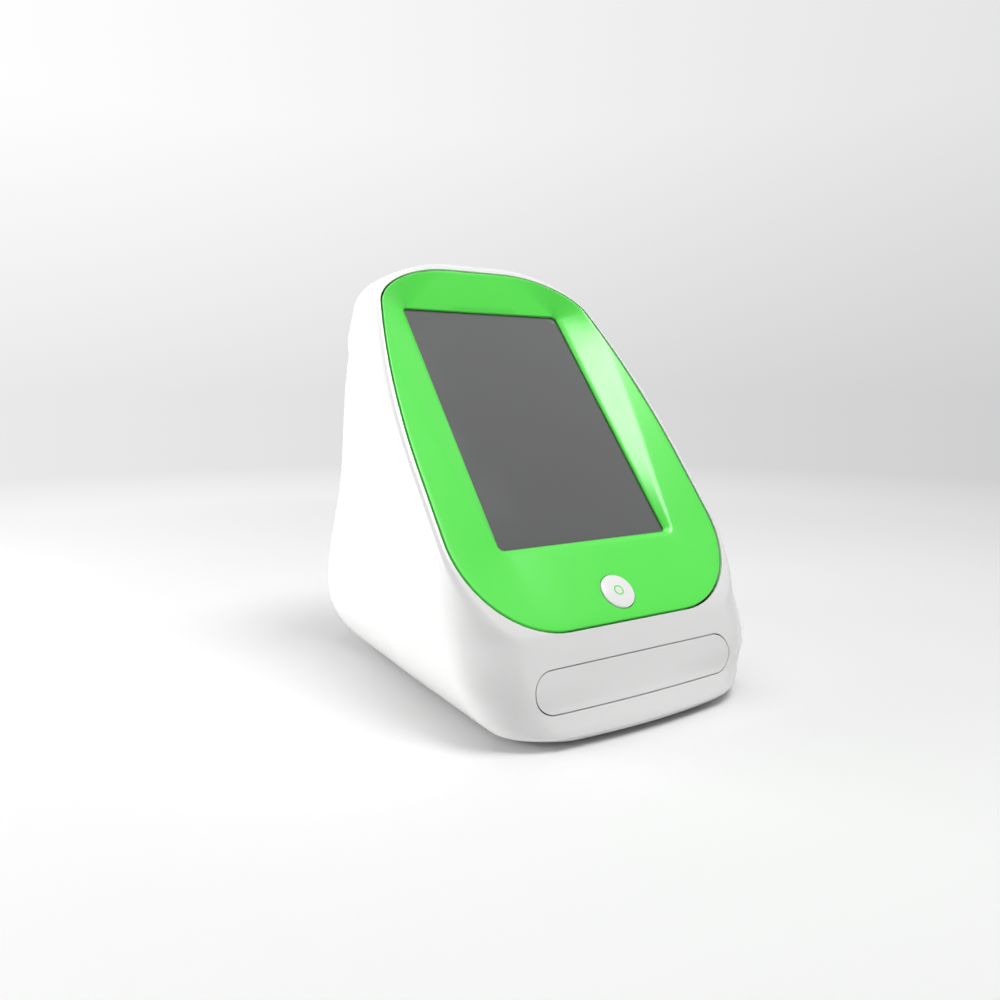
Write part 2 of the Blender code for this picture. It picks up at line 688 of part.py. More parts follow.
def main_housing(hollow):
    shell = body_solid("main_housing", 0.0, WHITE)
    cut(shell, hollow)
    slope = atan2(RIM_STAND_HIGH - RIM_STAND_LOW, RIM_TOP - RIM_BOTTOM)

    def carried(point, end):
        depth = OVERRUN if end else -BEZEL_SKIRT - WALL - BEZEL_WALL
        up = point[1] - depth * sin(slope)
        return on_screen(point[0], up, rim_stand(point[1]) + depth * cos(slope))

    cut(shell, prism("bezel_opening", rim_outline(0.0), carried))
    reach = front_at(DRAWER_HEIGHT + DRAWER_FRONT_HEIGHT / 2) + 3 * WALL
    span = (BODY_FRONT - OVERRUN, reach)
    outline = pill(DRAWER_FRONT_WIDTH / 2 + DRAWER_LINE, DRAWER_FRONT_HEIGHT / 2 + DRAWER_LINE)
    cut(shell, prism("drawer_mouth", outline, lambda p, end: (p[0], span[end], DRAWER_HEIGHT + p[1])))
    cut(shell, rear_window("rear_opening", 0.0))
    for side in (-1, 1):
        for depth in (POST_FRONT, POST_REAR):
            name = f"housing_boss_{'left' if side < 0 else 'right'}_{'front' if depth < 0 else 'rear'}"
            foot = BODY_BOTTOM + BASE_THICKNESS + FIT
            inner = side * (POST_REACH - POST_HALF_WIDTH)
            outer = side * (half_width_at(depth, foot) - WALL / 2)
            low = (min(inner, outer), depth - POST_HALF_WIDTH, foot)
            high = (max(inner, outer), depth + POST_HALF_WIDTH, chassis_floor() - FIT)
            cut(shell, box(name, low, high), "UNION")
            seat = (side * POST_REACH, depth, BODY_BOTTOM)
            cut(shell, screw_bore(name + "_bore", seat, (0, 0, 1), BASE_THICKNESS + SCREW_LENGTH))
    for side in (-1, 1):
        name = f"cover_tab_{'left' if side < 0 else 'right'}"
        face = back_at(COVER_HIGH) - WALL - FIT - OVERRUN / 4
        centre = side * COVER_TAB_REACH
        low = (centre - COVER_TAB_HALF, face - COVER_TAB_THICKNESS, COVER_HIGH - COVER_TAB_LAP)
        high = (centre + COVER_TAB_HALF, face, COVER_HIGH + COVER_TAB_ROOT)
        cut(shell, box(name, low, high), "UNION")
        root_low = (centre - COVER_TAB_HALF, face - WALL, COVER_HIGH + PART_LINE)
        root_high = (centre + COVER_TAB_HALF, face + WALL, COVER_HIGH + COVER_TAB_ROOT)
        cut(shell, box(name + "_root", root_low, root_high), "UNION")
        cut(shell, screw_bore(name + "_bore", cover_screw_seat(side), (0, -1, 0), SCREW_LENGTH + WALL))
    return shell


def cover_screw_seat(side):
    height = COVER_HIGH - COVER_TAB_LAP / 2
    return Vector((side * COVER_TAB_REACH, back_at(height) - SCREW_HEAD_HEIGHT, height))


def rear_cover(hollow):
    cover = body_solid("rear_cover", 0.0, WHITE)
    cut(cover, hollow)
    cut(cover, rear_window("rear_cover_field", PART_LINE), "INTERSECT")
    form = body_solid("bay_form", 0.0)
    low = (-BAY_HALF_WIDTH - BAY_WALL, BAY_FRONT, BAY_LOW - BAY_WALL)
    high = (BAY_HALF_WIDTH + BAY_WALL, BODY_BACK, BAY_HIGH + BAY_WALL)
    cut(form, box("bay_block", low, high), "INTERSECT")
    cut(cover, form, "UNION")
    low = (-BAY_HALF_WIDTH, BAY_FRONT - OVERRUN, BAY_LOW)
    high = (BAY_HALF_WIDTH, BODY_BACK + OVERRUN, BAY_HIGH)
    cut(cover, box("bay_hollow", low, high))
    for index in range(VENT_COUNT):
        centre = (index - (VENT_COUNT - 1) / 2) * VENT_PITCH
        low = (centre - VENT_WIDTH / 2, back_at(COVER_HIGH) - REAR_CORNER_DEPTH, VENT_LOW)
        high = (centre + VENT_WIDTH / 2, BODY_BACK + OVERRUN, VENT_HIGH)
        cut(cover, box(f"vent_{index + 1}", low, high))
    for side in (-1, 1):
        name = f"cover_hole_{'left' if side < 0 else 'right'}"
        seat = cover_screw_seat(side)
        start = seat + Vector((0, OVERRUN + SCREW_HEAD_HEIGHT, 0))
        head = OVERRUN + SCREW_HEAD_HEIGHT
        cut(cover, screw_bore(name, start, (0, -1, 0), head + 2 * WALL))
        cut(cover, screw_bore(name + "_seat", start, (0, -1, 0), head + FIT, SCREW_HEAD_RADIUS))
    return cover


def base_tray():
    outline = section(BODY_BOTTOM, WALL + PART_LINE)
    ends = (BODY_BOTTOM, BODY_BOTTOM + BASE_THICKNESS)
    plate = prism("base_tray", outline, lambda p, end: (p[0], p[1], ends[end]), GREY)
    for side in (-1, 1):
        for depth in (POST_FRONT, POST_REAR):
            name = f"base_hole_{'left' if side < 0 else 'right'}_{'front' if depth < 0 else 'rear'}"
            start = (side * POST_REACH, depth, BODY_BOTTOM - OVERRUN)
            head = OVERRUN + SCREW_HEAD_HEIGHT + FIT
            cut(plate, screw_bore(name, start, (0, 0, 1), BASE_THICKNESS + 2 * OVERRUN))
            cut(plate, screw_bore(name + "_seat", start, (0, 0, 1), head, SCREW_HEAD_RADIUS))
    for index, (side, depth) in enumerate(pad_places()):
        start = (side, depth, BODY_BOTTOM + BASE_THICKNESS / 2)
        length = chassis_floor() - FIT - start[2]
        cut(plate, rod(f"chassis_pad_{index + 1}", start, (0, 0, 1), PAD_RADIUS, length, steps=12), "UNION")
    return plate


def chassis_floor():
    return DRAWER_HEIGHT - DRAWER_FRONT_HEIGHT / 2 - CHASSIS_RISE


def rail_front():
    return front_at(DRAWER_HEIGHT + DRAWER_FRONT_HEIGHT / 2) + 3 * WALL + RAIL_SETBACK


def pad_places():
    reach = HALF_WIDTH - PAD_SIDE_SETBACK
    rear = back_at(BODY_BOTTOM) - REAR_CORNER_DEPTH
    return [(side * reach, depth) for side in (-1, 1) for depth in (rail_front() + 3 * PAD_RADIUS, rear)]


def base_fasteners():
    number = 0
    for side in (-1, 1):
        for depth in (POST_FRONT, POST_REAR):
            number += 1
            seat = (side * POST_REACH, depth, BODY_BOTTOM + SCREW_HEAD_HEIGHT)
            screw(f"base_screw_{number}", seat, (0, 0, 1))
            foot_depth = FOOT_FRONT if depth < 0 else FOOT_REAR
            start = (side * FOOT_REACH, foot_depth, 0.0)
            profile = (
                (FOOT_RADIUS - FOOT_HEIGHT / 4, 0.0),
                (FOOT_RADIUS, FOOT_HEIGHT / 4),
                (FOOT_RADIUS, FOOT_HEIGHT - FIT),
            )
            turned(f"rubber_foot_{number}", profile, start, (0, 0, 1), RUBBER, start)
    for side, name in ((-1, "left"), (1, "right")):
        screw(f"cover_screw_{name}", cover_screw_seat(side), (0, -1, 0))


def front_bezel():
    rims = rim_outline(-PART_LINE)
    inner_rims = rim_outline(-PART_LINE - BEZEL_WALL)
    windows = window_outline(0.0)
    rows = []
    for rim, window in zip(rims, windows):
        rows.append([bezel_point(rim, window, t) for t in face_places(knee_place(window[1]))])
    rings = list(zip(*rows))
    rings.append([Vector((side, up, FIT)) for side, up in windows])
    for t in BEZEL_BACK_SHARES:
        ring = [bezel_point(rim, window, t, BEZEL_WALL) for rim, window in zip(rims, windows)]
        rings.append([Vector((point.x, point.y, max(point.z, FIT))) for point in ring])
    rings.append([Vector((side, up, rim_stand(up) - BEZEL_SKIRT)) for side, up in inner_rims])
    rings.append([Vector((side, up, rim_stand(up) - BEZEL_SKIRT)) for side, up in rims])
    points = [on_screen(*point) for ring in rings for point in ring]
    faces = ring_faces(len(rings), len(rims), ends=False, loop=True)
    bezel = add("front_bezel", points, faces, GREEN)
    for index, (side, up) in enumerate(boss_places()):
        top = dish_height(side, up) - BEZEL_BOSS_SINK_SHARES[index // 2] * BEZEL_WALL
        start = on_screen(side, up, BRACKET_FRONT + FIT)
        length = top - BRACKET_FRONT - FIT
        boss = rod(f"bezel_boss_{index + 1}", start, SCREEN_OUT, BEZEL_BOSS_RADIUS, length, steps=12)
        cut(bezel, boss, "UNION")
        start = on_screen(side, up, BRACKET_BACK)
        cut(bezel, screw_bore(f"bezel_bore_{index + 1}", start, SCREEN_OUT, SCREW_LENGTH + FIT))
    start = on_screen(0.0, -KEY_DROP, dish_height(0.0, -KEY_DROP)) - 2 * KEY_CAP * key_axis()
    cut(bezel, rod("key_opening", start, key_axis(), KEY_DIAMETER / 2 + RUNNING, 3 * KEY_CAP))
    return bezel


def screen_slab(name, half_width, low, high, back, front, finish=None):
    """A flat slab parallel to the glass, from back to front over it."""
    outline = [(-half_width, low), (half_width, low), (half_width, high), (-half_width, high)]
    ends = (back, front)
    return prism(name, outline, lambda p, end: on_screen(p[0], p[1], ends[end]), finish)


def screen_stack():
    wide = WINDOW_WIDTH / 2 + GLASS_LAP
    tall = WINDOW_HEIGHT / 2 + GLASS_LAP
    screen_slab("touch_glass", wide, -tall, tall, GLASS_BACK, 0.0, GLASS)
    gasket = screen_slab("glass_gasket", wide, -tall, tall, GASKET_BACK, GLASS_BACK - FIT, RUBBER)
    inner = (wide - GASKET_WIDTH, tall - GASKET_WIDTH)
    span = (GASKET_BACK - OVERRUN, GLASS_BACK + OVERRUN)
    hole = screen_slab("gasket_hole", inner[0], -inner[1], inner[1], *span)
    cut(gasket, hole)
    screen_slab("display_module", wide, -tall, tall, PANEL_BACK, GASKET_BACK - FIT, GREY)
    places = boss_places()
    reach = places[1][0] + BRACKET_BORDER
    low = places[0][1] - BRACKET_BORDER
    high = places[2][1] + BRACKET_BORDER
    tail = BRACKET_TAIL_WIDTH / 2
    outline = [(-tail, low - BRACKET_TAIL), (tail, low - BRACKET_TAIL), (tail, low), (reach, low)]
    outline += [(reach, high), (-reach, high), (-reach, low), (-tail, low)]
    ends = (BRACKET_BACK, BRACKET_FRONT)
    bracket = prism("display_bracket", outline, lambda p, end: on_screen(p[0], p[1], ends[end]), STEEL)
    window = screen_slab(
        "bracket_window",
        BRACKET_WINDOW_WIDTH / 2,
        -BRACKET_WINDOW_HEIGHT / 2,
        BRACKET_WINDOW_HEIGHT / 2,
        BRACKET_BACK - OVERRUN,
        BRACKET_FRONT + OVERRUN,
    )
    cut(bracket, window)
    for index, (side, up) in enumerate(places):
        start = on_screen(side, up, BRACKET_BACK - OVERRUN)
        length = BRACKET_THICKNESS + 2 * OVERRUN
        cut(bracket, screw_bore(f"bracket_hole_{index + 1}", start, SCREEN_OUT, length))
        screw(f"bracket_screw_{index + 1}", on_screen(side, up, BRACKET_BACK - FIT), SCREEN_OUT)


def key_axis():
    """The bezel's own outward direction at the key, which the key moves along."""
    reach = KEY_DIAMETER / 2
    fall = dish_height(0.0, reach - KEY_DROP) - dish_height(0.0, -reach - KEY_DROP)
    return (SCREEN_OUT - fall / KEY_DIAMETER * SCREEN_UP).normalized()


def home_key():
    """The key with its stem, the switch and plunger under it and the board that carries them."""
    axis = key_axis()
    face = on_screen(0.0, -KEY_DROP, dish_height(0.0, -KEY_DROP) + KEY_PROUD)
    board_front = BRACKET_FRONT + FIT + BOARD_THICKNESS
    switch_front = board_front + FIT + SWITCH_HEIGHT
    depth = ((face - SCREEN_CENTRE).dot(SCREEN_OUT) - switch_front) / axis.dot(SCREEN_OUT)
    below = (face - depth * axis - SCREEN_CENTRE).dot(SCREEN_UP)
    board = (below - KEY_BOARD_HEIGHT / 2, below + KEY_BOARD_HEIGHT / 2)
    screen_slab("key_board", KEY_BOARD_WIDTH / 2, *board, BRACKET_FRONT + FIT, board_front, BOARD)
    half = SWITCH_SIZE / 2
    span = (board_front + FIT, switch_front)
    switch = screen_slab("key_switch", half, below - half, below + half, *span, BLACK)
    plunger_foot = depth + PLUNGER_DEPTH
    well = face - (plunger_foot + KEY_TRAVEL + FIT) * axis
    cut(switch, rod("switch_well", well, axis, PLUNGER_BORE, SWITCH_HEIGHT, steps=16))
    start = face - plunger_foot * axis
    stem_foot = depth - KEY_TRAVEL - KEY_PLAY
    length = plunger_foot - stem_foot - FIT
    rod("switch_plunger", start, axis, PLUNGER_RADIUS, length, NATURAL, start, 16)
    cap = KEY_DIAMETER / 2
    profile = (
        (KEY_STEM_RADIUS, -stem_foot),
        (KEY_STEM_RADIUS, -KEY_CAP),
        (cap, -KEY_CAP),
        (cap, -KEY_CROWN),
        (cap - KEY_CROWN, 0.0),
        (cap / 3, KEY_CROWN / 2),
    )
    turned("home_key", profile, face, axis, WHITE, face)


def drawer_face():
    """The flat place of the drawer front's outer face."""
    return front_at(DRAWER_HEIGHT)


def drawer_pieces():
    face = drawer_face()
    back = face + DRAWER_FRONT_THICKNESS
    ends = (face, back)
    outline = pill(DRAWER_FRONT_WIDTH / 2, DRAWER_FRONT_HEIGHT / 2)
    tilt = nose_tilt()

    def leaned(point, end):
        return (point[0], ends[end] + point[1] * tilt, DRAWER_HEIGHT + point[1])

    prism("drawer_front", outline, leaned, WHITE, (0.0, face, DRAWER_HEIGHT))

    front = back + DRAWER_FRONT_HEIGHT / 2 * tilt + FIT
    low = (-TRAY_HALF_WIDTH, front, DRAWER_HEIGHT - TRAY_LOW)
    high = (TRAY_HALF_WIDTH, front + TRAY_LENGTH, DRAWER_HEIGHT + TRAY_HIGH)
    tray = box("drawer_tray", low, high, NATURAL, (0.0, front, DRAWER_HEIGHT))
    for index, centre in enumerate(bay_centres()):
        bay_low = (centre - BAY_WIDTH / 2, low[1] + BAY_END_WALL, low[2] + TRAY_FLOOR)
        bay_high = (centre + BAY_WIDTH / 2, high[1] - BAY_END_WALL, high[2] + OVERRUN)
        cut(tray, box(f"bay_{index + 1}", bay_low, bay_high))

    for side, name in ((-1, "left"), (1, "right")):
        inner = side * (TRAY_HALF_WIDTH + FIT)
        outer = inner + side * SLIDE_WIDTH
        low = (min(inner, outer), front + RAIL_SETBACK, DRAWER_HEIGHT - SLIDE_HEIGHT / 2)
        high = (max(inner, outer), slide_rear(), DRAWER_HEIGHT + SLIDE_HEIGHT / 2)
        box(f"drawer_slide_{name}", low, high, STEEL, (0.0, front, DRAWER_HEIGHT))
    return front


def slide_rear():
    return CHASSIS_REAR - SLIDE_REAR_GAP


def nose_tilt():
    """How far the front face moves back for each unit of height at the drawer."""
    half = DRAWER_FRONT_HEIGHT / 2
    return (front_at(DRAWER_HEIGHT + half) - front_at(DRAWER_HEIGHT - half)) / (2 * half)


def bay_centres():
    pitch = 2 * TRAY_HALF_WIDTH / BAY_COUNT - TRAY_WALL / 2
    return [(index - (BAY_COUNT - 1) / 2) * pitch for index in range(BAY_COUNT)]


def rails_and_chassis():
    front = rail_front()
    inner = TRAY_HALF_WIDTH + FIT - RUNNING / 3
    outer = TRAY_HALF_WIDTH + FIT + SLIDE_WIDTH + RUNNING + RAIL_WALL
    half = SLIDE_HEIGHT / 2 + RUNNING + RAIL_WALL
    groove = SLIDE_HEIGHT / 2 + RUNNING
    for side, name in ((-1, "left"), (1, "right")):
        outline = [
            (side * (inner + RAIL_WALL), -half),
            (side * outer, -half),
            (side * outer, half),
            (side * (inner + RAIL_WALL), half),
            (side * (inner + RAIL_WALL), groove),
            (side * (outer - RAIL_WALL), groove),
            (side * (outer - RAIL_WALL), -groove),
            (side * (inner + RAIL_WALL), -groove),
        ]
        ends = (front, CHASSIS_REAR - RAIL_REAR_GAP)
        prism(f"drawer_rail_{name}", outline, lambda p, end: (p[0], ends[end], DRAWER_HEIGHT + p[1]), STEEL)
    floor = chassis_floor()
    wing = outer + FIT
    outline = [
        (-wing - CHASSIS_THICKNESS, CHASSIS_TOP),
        (-wing - CHASSIS_THICKNESS, floor),
        (wing + CHASSIS_THICKNESS, floor),
        (wing + CHASSIS_THICKNESS, CHASSIS_TOP),
        (wing, CHASSIS_TOP),
        (wing, floor + CHASSIS_THICKNESS),
        (-wing, floor + CHASSIS_THICKNESS),
        (-wing, CHASSIS_TOP),
    ]
    ends = (front, CHASSIS_REAR)
    prism("drawer_chassis", outline, lambda p, end: (p[0], ends[end], p[1]), STEEL)
    return wing


def involute_tooth():
    """One pinion tooth's outline as polar (radius, angle) points, root to root about angle zero."""
    pitch = PINION_TEETH * GEAR_MODULE / 2
    base = pitch * cos(PRESSURE_ANGLE)
    tip = pitch + TOOTH_TIP_SHARE * GEAR_MODULE
    root = pitch - TOOTH_ROOT_SHARE * GEAR_MODULE
    pitch_roll = tan(PRESSURE_ANGLE) - PRESSURE_ANGLE
    half = pi / (2 * PINION_TEETH) - BACKLASH / (2 * pitch)
    flank = []
    for step in range(4):
        radius = max(base, root) + (tip - max(base, root)) * step / 3
        turn = acos(min(base / radius, 1.0))
        flank.append((radius, half + pitch_roll - (tan(turn) - turn)))
    flank.insert(0, (root, flank[0][1]))
    near = [(radius, -angle) for radius, angle in flank]
    return near + [(radius, angle) for radius, angle in reversed(flank)]


def drawer_drive(tray_front):
    """The rack on the left slide, the pinion in mesh with it, and the motor on its bracket, behind
    the tray and the reading head."""
    pitch = pi * GEAR_MODULE
    slide_face = -TRAY_HALF_WIDTH - FIT
    rack_root = slide_face + FIT + RACK_BACK
    pitch_line = rack_root + TOOTH_ROOT_SHARE * GEAR_MODULE
    gear_radius = PINION_TEETH * GEAR_MODULE / 2
    centre_x = pitch_line + gear_radius + GEAR_RADIAL_GAP
    carriage_rear = tray_front + HEAD_SETBACK + CARRIAGE_LENGTH / 2
    centre_y = max(tray_front + TRAY_LENGTH + PINION_SETBACK, carriage_rear + HEAD_GAP + MOTOR_RADIUS)
    start = centre_y - pitch
    teeth = int((slide_rear() - start) / pitch + 1 / 2)
    tip = TOOTH_TIP_SHARE * GEAR_MODULE
    half_root = pitch / 4 - BACKLASH / 2 + TOOTH_ROOT_SHARE * GEAR_MODULE * tan(PRESSURE_ANGLE)
    half_tip = pitch / 4 - BACKLASH / 2 - tip * tan(PRESSURE_ANGLE)
    outline = [(slide_face + FIT, start - pitch / 2)]
    for index in range(teeth):
        middle = start + index * pitch
        outline.append((rack_root, middle - half_root))
        outline.append((pitch_line + tip, middle - half_tip))
        outline.append((pitch_line + tip, middle + half_tip))
        outline.append((rack_root, middle + half_root))
    outline.append((slide_face + FIT, start + (teeth - 1 / 2) * pitch))
    levels = (DRAWER_HEIGHT - RACK_HEIGHT / 2, DRAWER_HEIGHT + RACK_HEIGHT / 2)
    origin = (0.0, tray_front, DRAWER_HEIGHT)
    prism("drawer_rack", outline, lambda p, end: (p[0], p[1], levels[end]), NATURAL, origin)

    # A rack tooth stands level with the pinion's centre, so a gap between pinion teeth faces it
    outline = []
    for index in range(PINION_TEETH):
        middle = pi + (index + 0.5) * 2 * pi / PINION_TEETH
        for radius, angle in involute_tooth():
            outline.append((centre_x + radius * cos(middle + angle), centre_y + radius * sin(middle + angle)))
    centre = (centre_x, centre_y, DRAWER_HEIGHT)
    pinion = prism("drive_pinion", outline, lambda p, end: (p[0], p[1], levels[end]), BRASS, centre)
    shaft_top = MOTOR_FACE - FIT
    start = (centre_x, centre_y, levels[1] - FIT)
    hub = rod("pinion_hub", start, (0, 0, 1), gear_radius / 2, shaft_top - start[2], steps=16)
    cut(pinion, hub, "UNION")
    bore_low = (centre_x, centre_y, levels[0] - OVERRUN)
    length = shaft_top - levels[0] + 2 * OVERRUN
    cut(pinion, rod("pinion_bore", bore_low, (0, 0, 1), MOTOR_SHAFT_RADIUS + SHAFT_FIT, length, steps=16))

    # The motor hangs over the pinion on a bridge that stands on the chassis floor
    face = MOTOR_FACE + BRACKET_PLATE + FIT
    profile = (
        (MOTOR_SHAFT_RADIUS, levels[0]),
        (MOTOR_SHAFT_RADIUS, face),
        (MOTOR_RADIUS, face),
        (MOTOR_RADIUS, face + MOTOR_LENGTH),
    )
    turned("drive_motor", profile, (centre_x, centre_y, 0.0), (0, 0, 1), STEEL)
    floor = chassis_floor() + CHASSIS_THICKNESS + FIT
    reach = MOTOR_RADIUS + DRIVE_LEG
    low = (centre_x - gear_radius - DRIVE_LEG, centre_y - reach, MOTOR_FACE)
    high = (centre_x + reach, centre_y + reach, MOTOR_FACE + BRACKET_PLATE)
    bridge = box("drive_bracket", low, high, STEEL)
    for sign, name in ((-1, "front"), (1, "rear")):
        inner = centre_y + sign * (reach - DRIVE_LEG)
        outer = centre_y + sign * reach
        leg_low = (centre_x + gear_radius, min(inner, outer), floor)
        leg_high = (high[0], max(inner, outer), high[2])
        cut(bridge, box(f"bracket_leg_{name}", leg_low, leg_high), "UNION")
    opening = (centre_x, centre_y, MOTOR_FACE - OVERRUN)
    length = BRACKET_PLATE + 2 * OVERRUN
    cut(bridge, rod("bracket_opening", opening, (0, 0, 1), gear_radius / 2, length, steps=16))
    return high[1]


def reading_head(wing, tray_front):
    """Two rods and a lead screw across the drawer, and the carriage that they carry over the bays."""
    centre_y = tray_front + HEAD_SETBACK
    seat = CHASSIS_TOP + FIT
    reach = wing + CHASSIS_THICKNESS
    rods = (centre_y - ROD_SPAN / 2, centre_y + ROD_SPAN / 2)
    margin = 2 * ROD_RADIUS
    inner = reach - SUPPORT_THICKNESS
    for side, name in ((-1, "left"), (1, "right")):
        low = (min(side * inner, side * reach), rods[0] - margin, seat)
        high = (max(side * inner, side * reach), rods[1] + margin, ROD_HEIGHT + SUPPORT_TOP)
        support = box(f"rod_support_{name}", low, high, STEEL)
        for index, depth in enumerate((rods[0], centre_y, rods[1])):
            radius = SCREW_DRIVE_RADIUS if index == 1 else ROD_RADIUS
            start = (side * inner - side * OVERRUN, depth, ROD_HEIGHT)
            length = SUPPORT_THICKNESS + 2 * OVERRUN
            bore = rod(f"support_bore_{name}_{index + 1}", start, (side, 0, 0), radius + ROD_PLAY, length)
            cut(support, bore)
    for depth, name in ((rods[0], "front"), (rods[1], "rear")):
        rod(f"guide_rod_{name}", (-reach, depth, ROD_HEIGHT), (1, 0, 0), ROD_RADIUS, 2 * reach, STEEL)
    start = (-reach, centre_y, ROD_HEIGHT)
    rod("lead_screw", start, (1, 0, 0), SCREW_DRIVE_RADIUS, 2 * reach, BRASS, start)
    start = (reach + FIT, centre_y, ROD_HEIGHT)
    rod("scan_motor", start, (1, 0, 0), SCAN_MOTOR_RADIUS, SCAN_MOTOR_LENGTH, STEEL)

    rest = bay_centres()[0]
    origin = (rest, centre_y, ROD_HEIGHT)
    low = (rest - CARRIAGE_WIDTH / 2, centre_y - CARRIAGE_LENGTH / 2, ROD_HEIGHT - CARRIAGE_DROP)
    high = (rest + CARRIAGE_WIDTH / 2, centre_y + CARRIAGE_LENGTH / 2, ROD_HEIGHT + CARRIAGE_RISE)
    carriage = box("scan_carriage", low, high, BLACK, origin)
    for index, depth in enumerate((rods[0], centre_y, rods[1])):
        radius = SCREW_DRIVE_RADIUS if index == 1 else ROD_RADIUS
        start = (low[0] - OVERRUN, depth, ROD_HEIGHT)
        length = CARRIAGE_WIDTH + 2 * OVERRUN
        cut(carriage, rod(f"carriage_bore_{index + 1}", start, (1, 0, 0), radius + ROD_PLAY, length))

    top = low[2] - FIT
    head_low = (rest - HEAD_WIDTH / 2, centre_y - HEAD_LENGTH / 2, top - HEAD_DROP)
    head_high = (rest + HEAD_WIDTH / 2, centre_y + HEAD_LENGTH / 2, top)
    head = box("optical_head", head_low, head_high, BLACK, origin)
    seat = (rest, centre_y, head_low[2] - OVERRUN)
    depth = OVERRUN + LENS_LENGTH
    cut(head, rod("lens_seat", seat, (0, 0, 1), LENS_RADIUS, depth))
    start = (rest, centre_y, head_low[2] + FIT)
    rod("optical_lens", start, (0, 0, 1), LENS_RADIUS - FIT, LENS_LENGTH - 2 * FIT, GLASS, origin)


def main_board(wing, front):
    """The plate over the drawer's rear, its standoffs, the board on them and the display's cable."""
    seat = CHASSIS_TOP + FIT
    reach = wing + CHASSIS_THICKNESS
    top = seat + TRAY_PLATE_THICKNESS
    rear = BAY_FRONT - TRAY_PLATE_REAR_GAP
    box("board_plate", (-reach, front, seat), (reach, rear, top), STEEL)
    foot = top + FIT
    board_low = foot + STANDOFF_HEIGHT + FIT
    number = 0
    for side in (-1, 1):
        for depth in (front + 2 * BOARD_MARGIN, rear - 2 * BOARD_MARGIN):
            number += 1
            start = (side * (reach - 2 * BOARD_MARGIN), depth, foot)
            shape = (STANDOFF_RADIUS, STANDOFF_HEIGHT, BRASS, start, ROUND_STEPS // 2)
            rod(f"board_standoff_{number}", start, (0, 0, 1), *shape)
    low = (-reach + BOARD_MARGIN, front + BOARD_MARGIN, board_low)
    high = (reach - BOARD_MARGIN, rear - BOARD_MARGIN, board_low + BOARD_THICKNESS)
    box("main_board", low, high, BOARD)

    # A flat cable from the display's back, over its bracket's window, down to the board
    start = on_screen(0.0, 0.0, PANEL_BACK - FIT)
    bend = on_screen(0.0, 0.0, BRACKET_BACK - CABLE_SLACK)
    end = Vector((0.0, low[1] + BOARD_MARGIN, high[2] + FIT))
    run = [start, bend, Vector((0.0, end.y, bend.z - CABLE_SLACK)), end]
    outline = ribbon(run, CABLE_THICKNESS)
    sides = (-CABLE_HALF_WIDTH, CABLE_HALF_WIDTH)
    prism("display_cable", outline, lambda p, place: (sides[place], p[0], p[1]), NATURAL)


def ribbon(run, thickness):
    """A strip's edge outline in the (y, z) plane, of one thickness along a run of points."""
    left = []
    right = []
    for index, point in enumerate(run):
        before = run[max(index - 1, 0)]
        after = run[min(index + 1, len(run) - 1)]
        along = (after - before).normalized()
        offset = Vector((0.0, -along.z, along.y)) * thickness / 2
        left.append((point.y + offset.y, point.z + offset.z))
        right.append((point.y - offset.y, point.z - offset.z))
    return left + right[::-1]


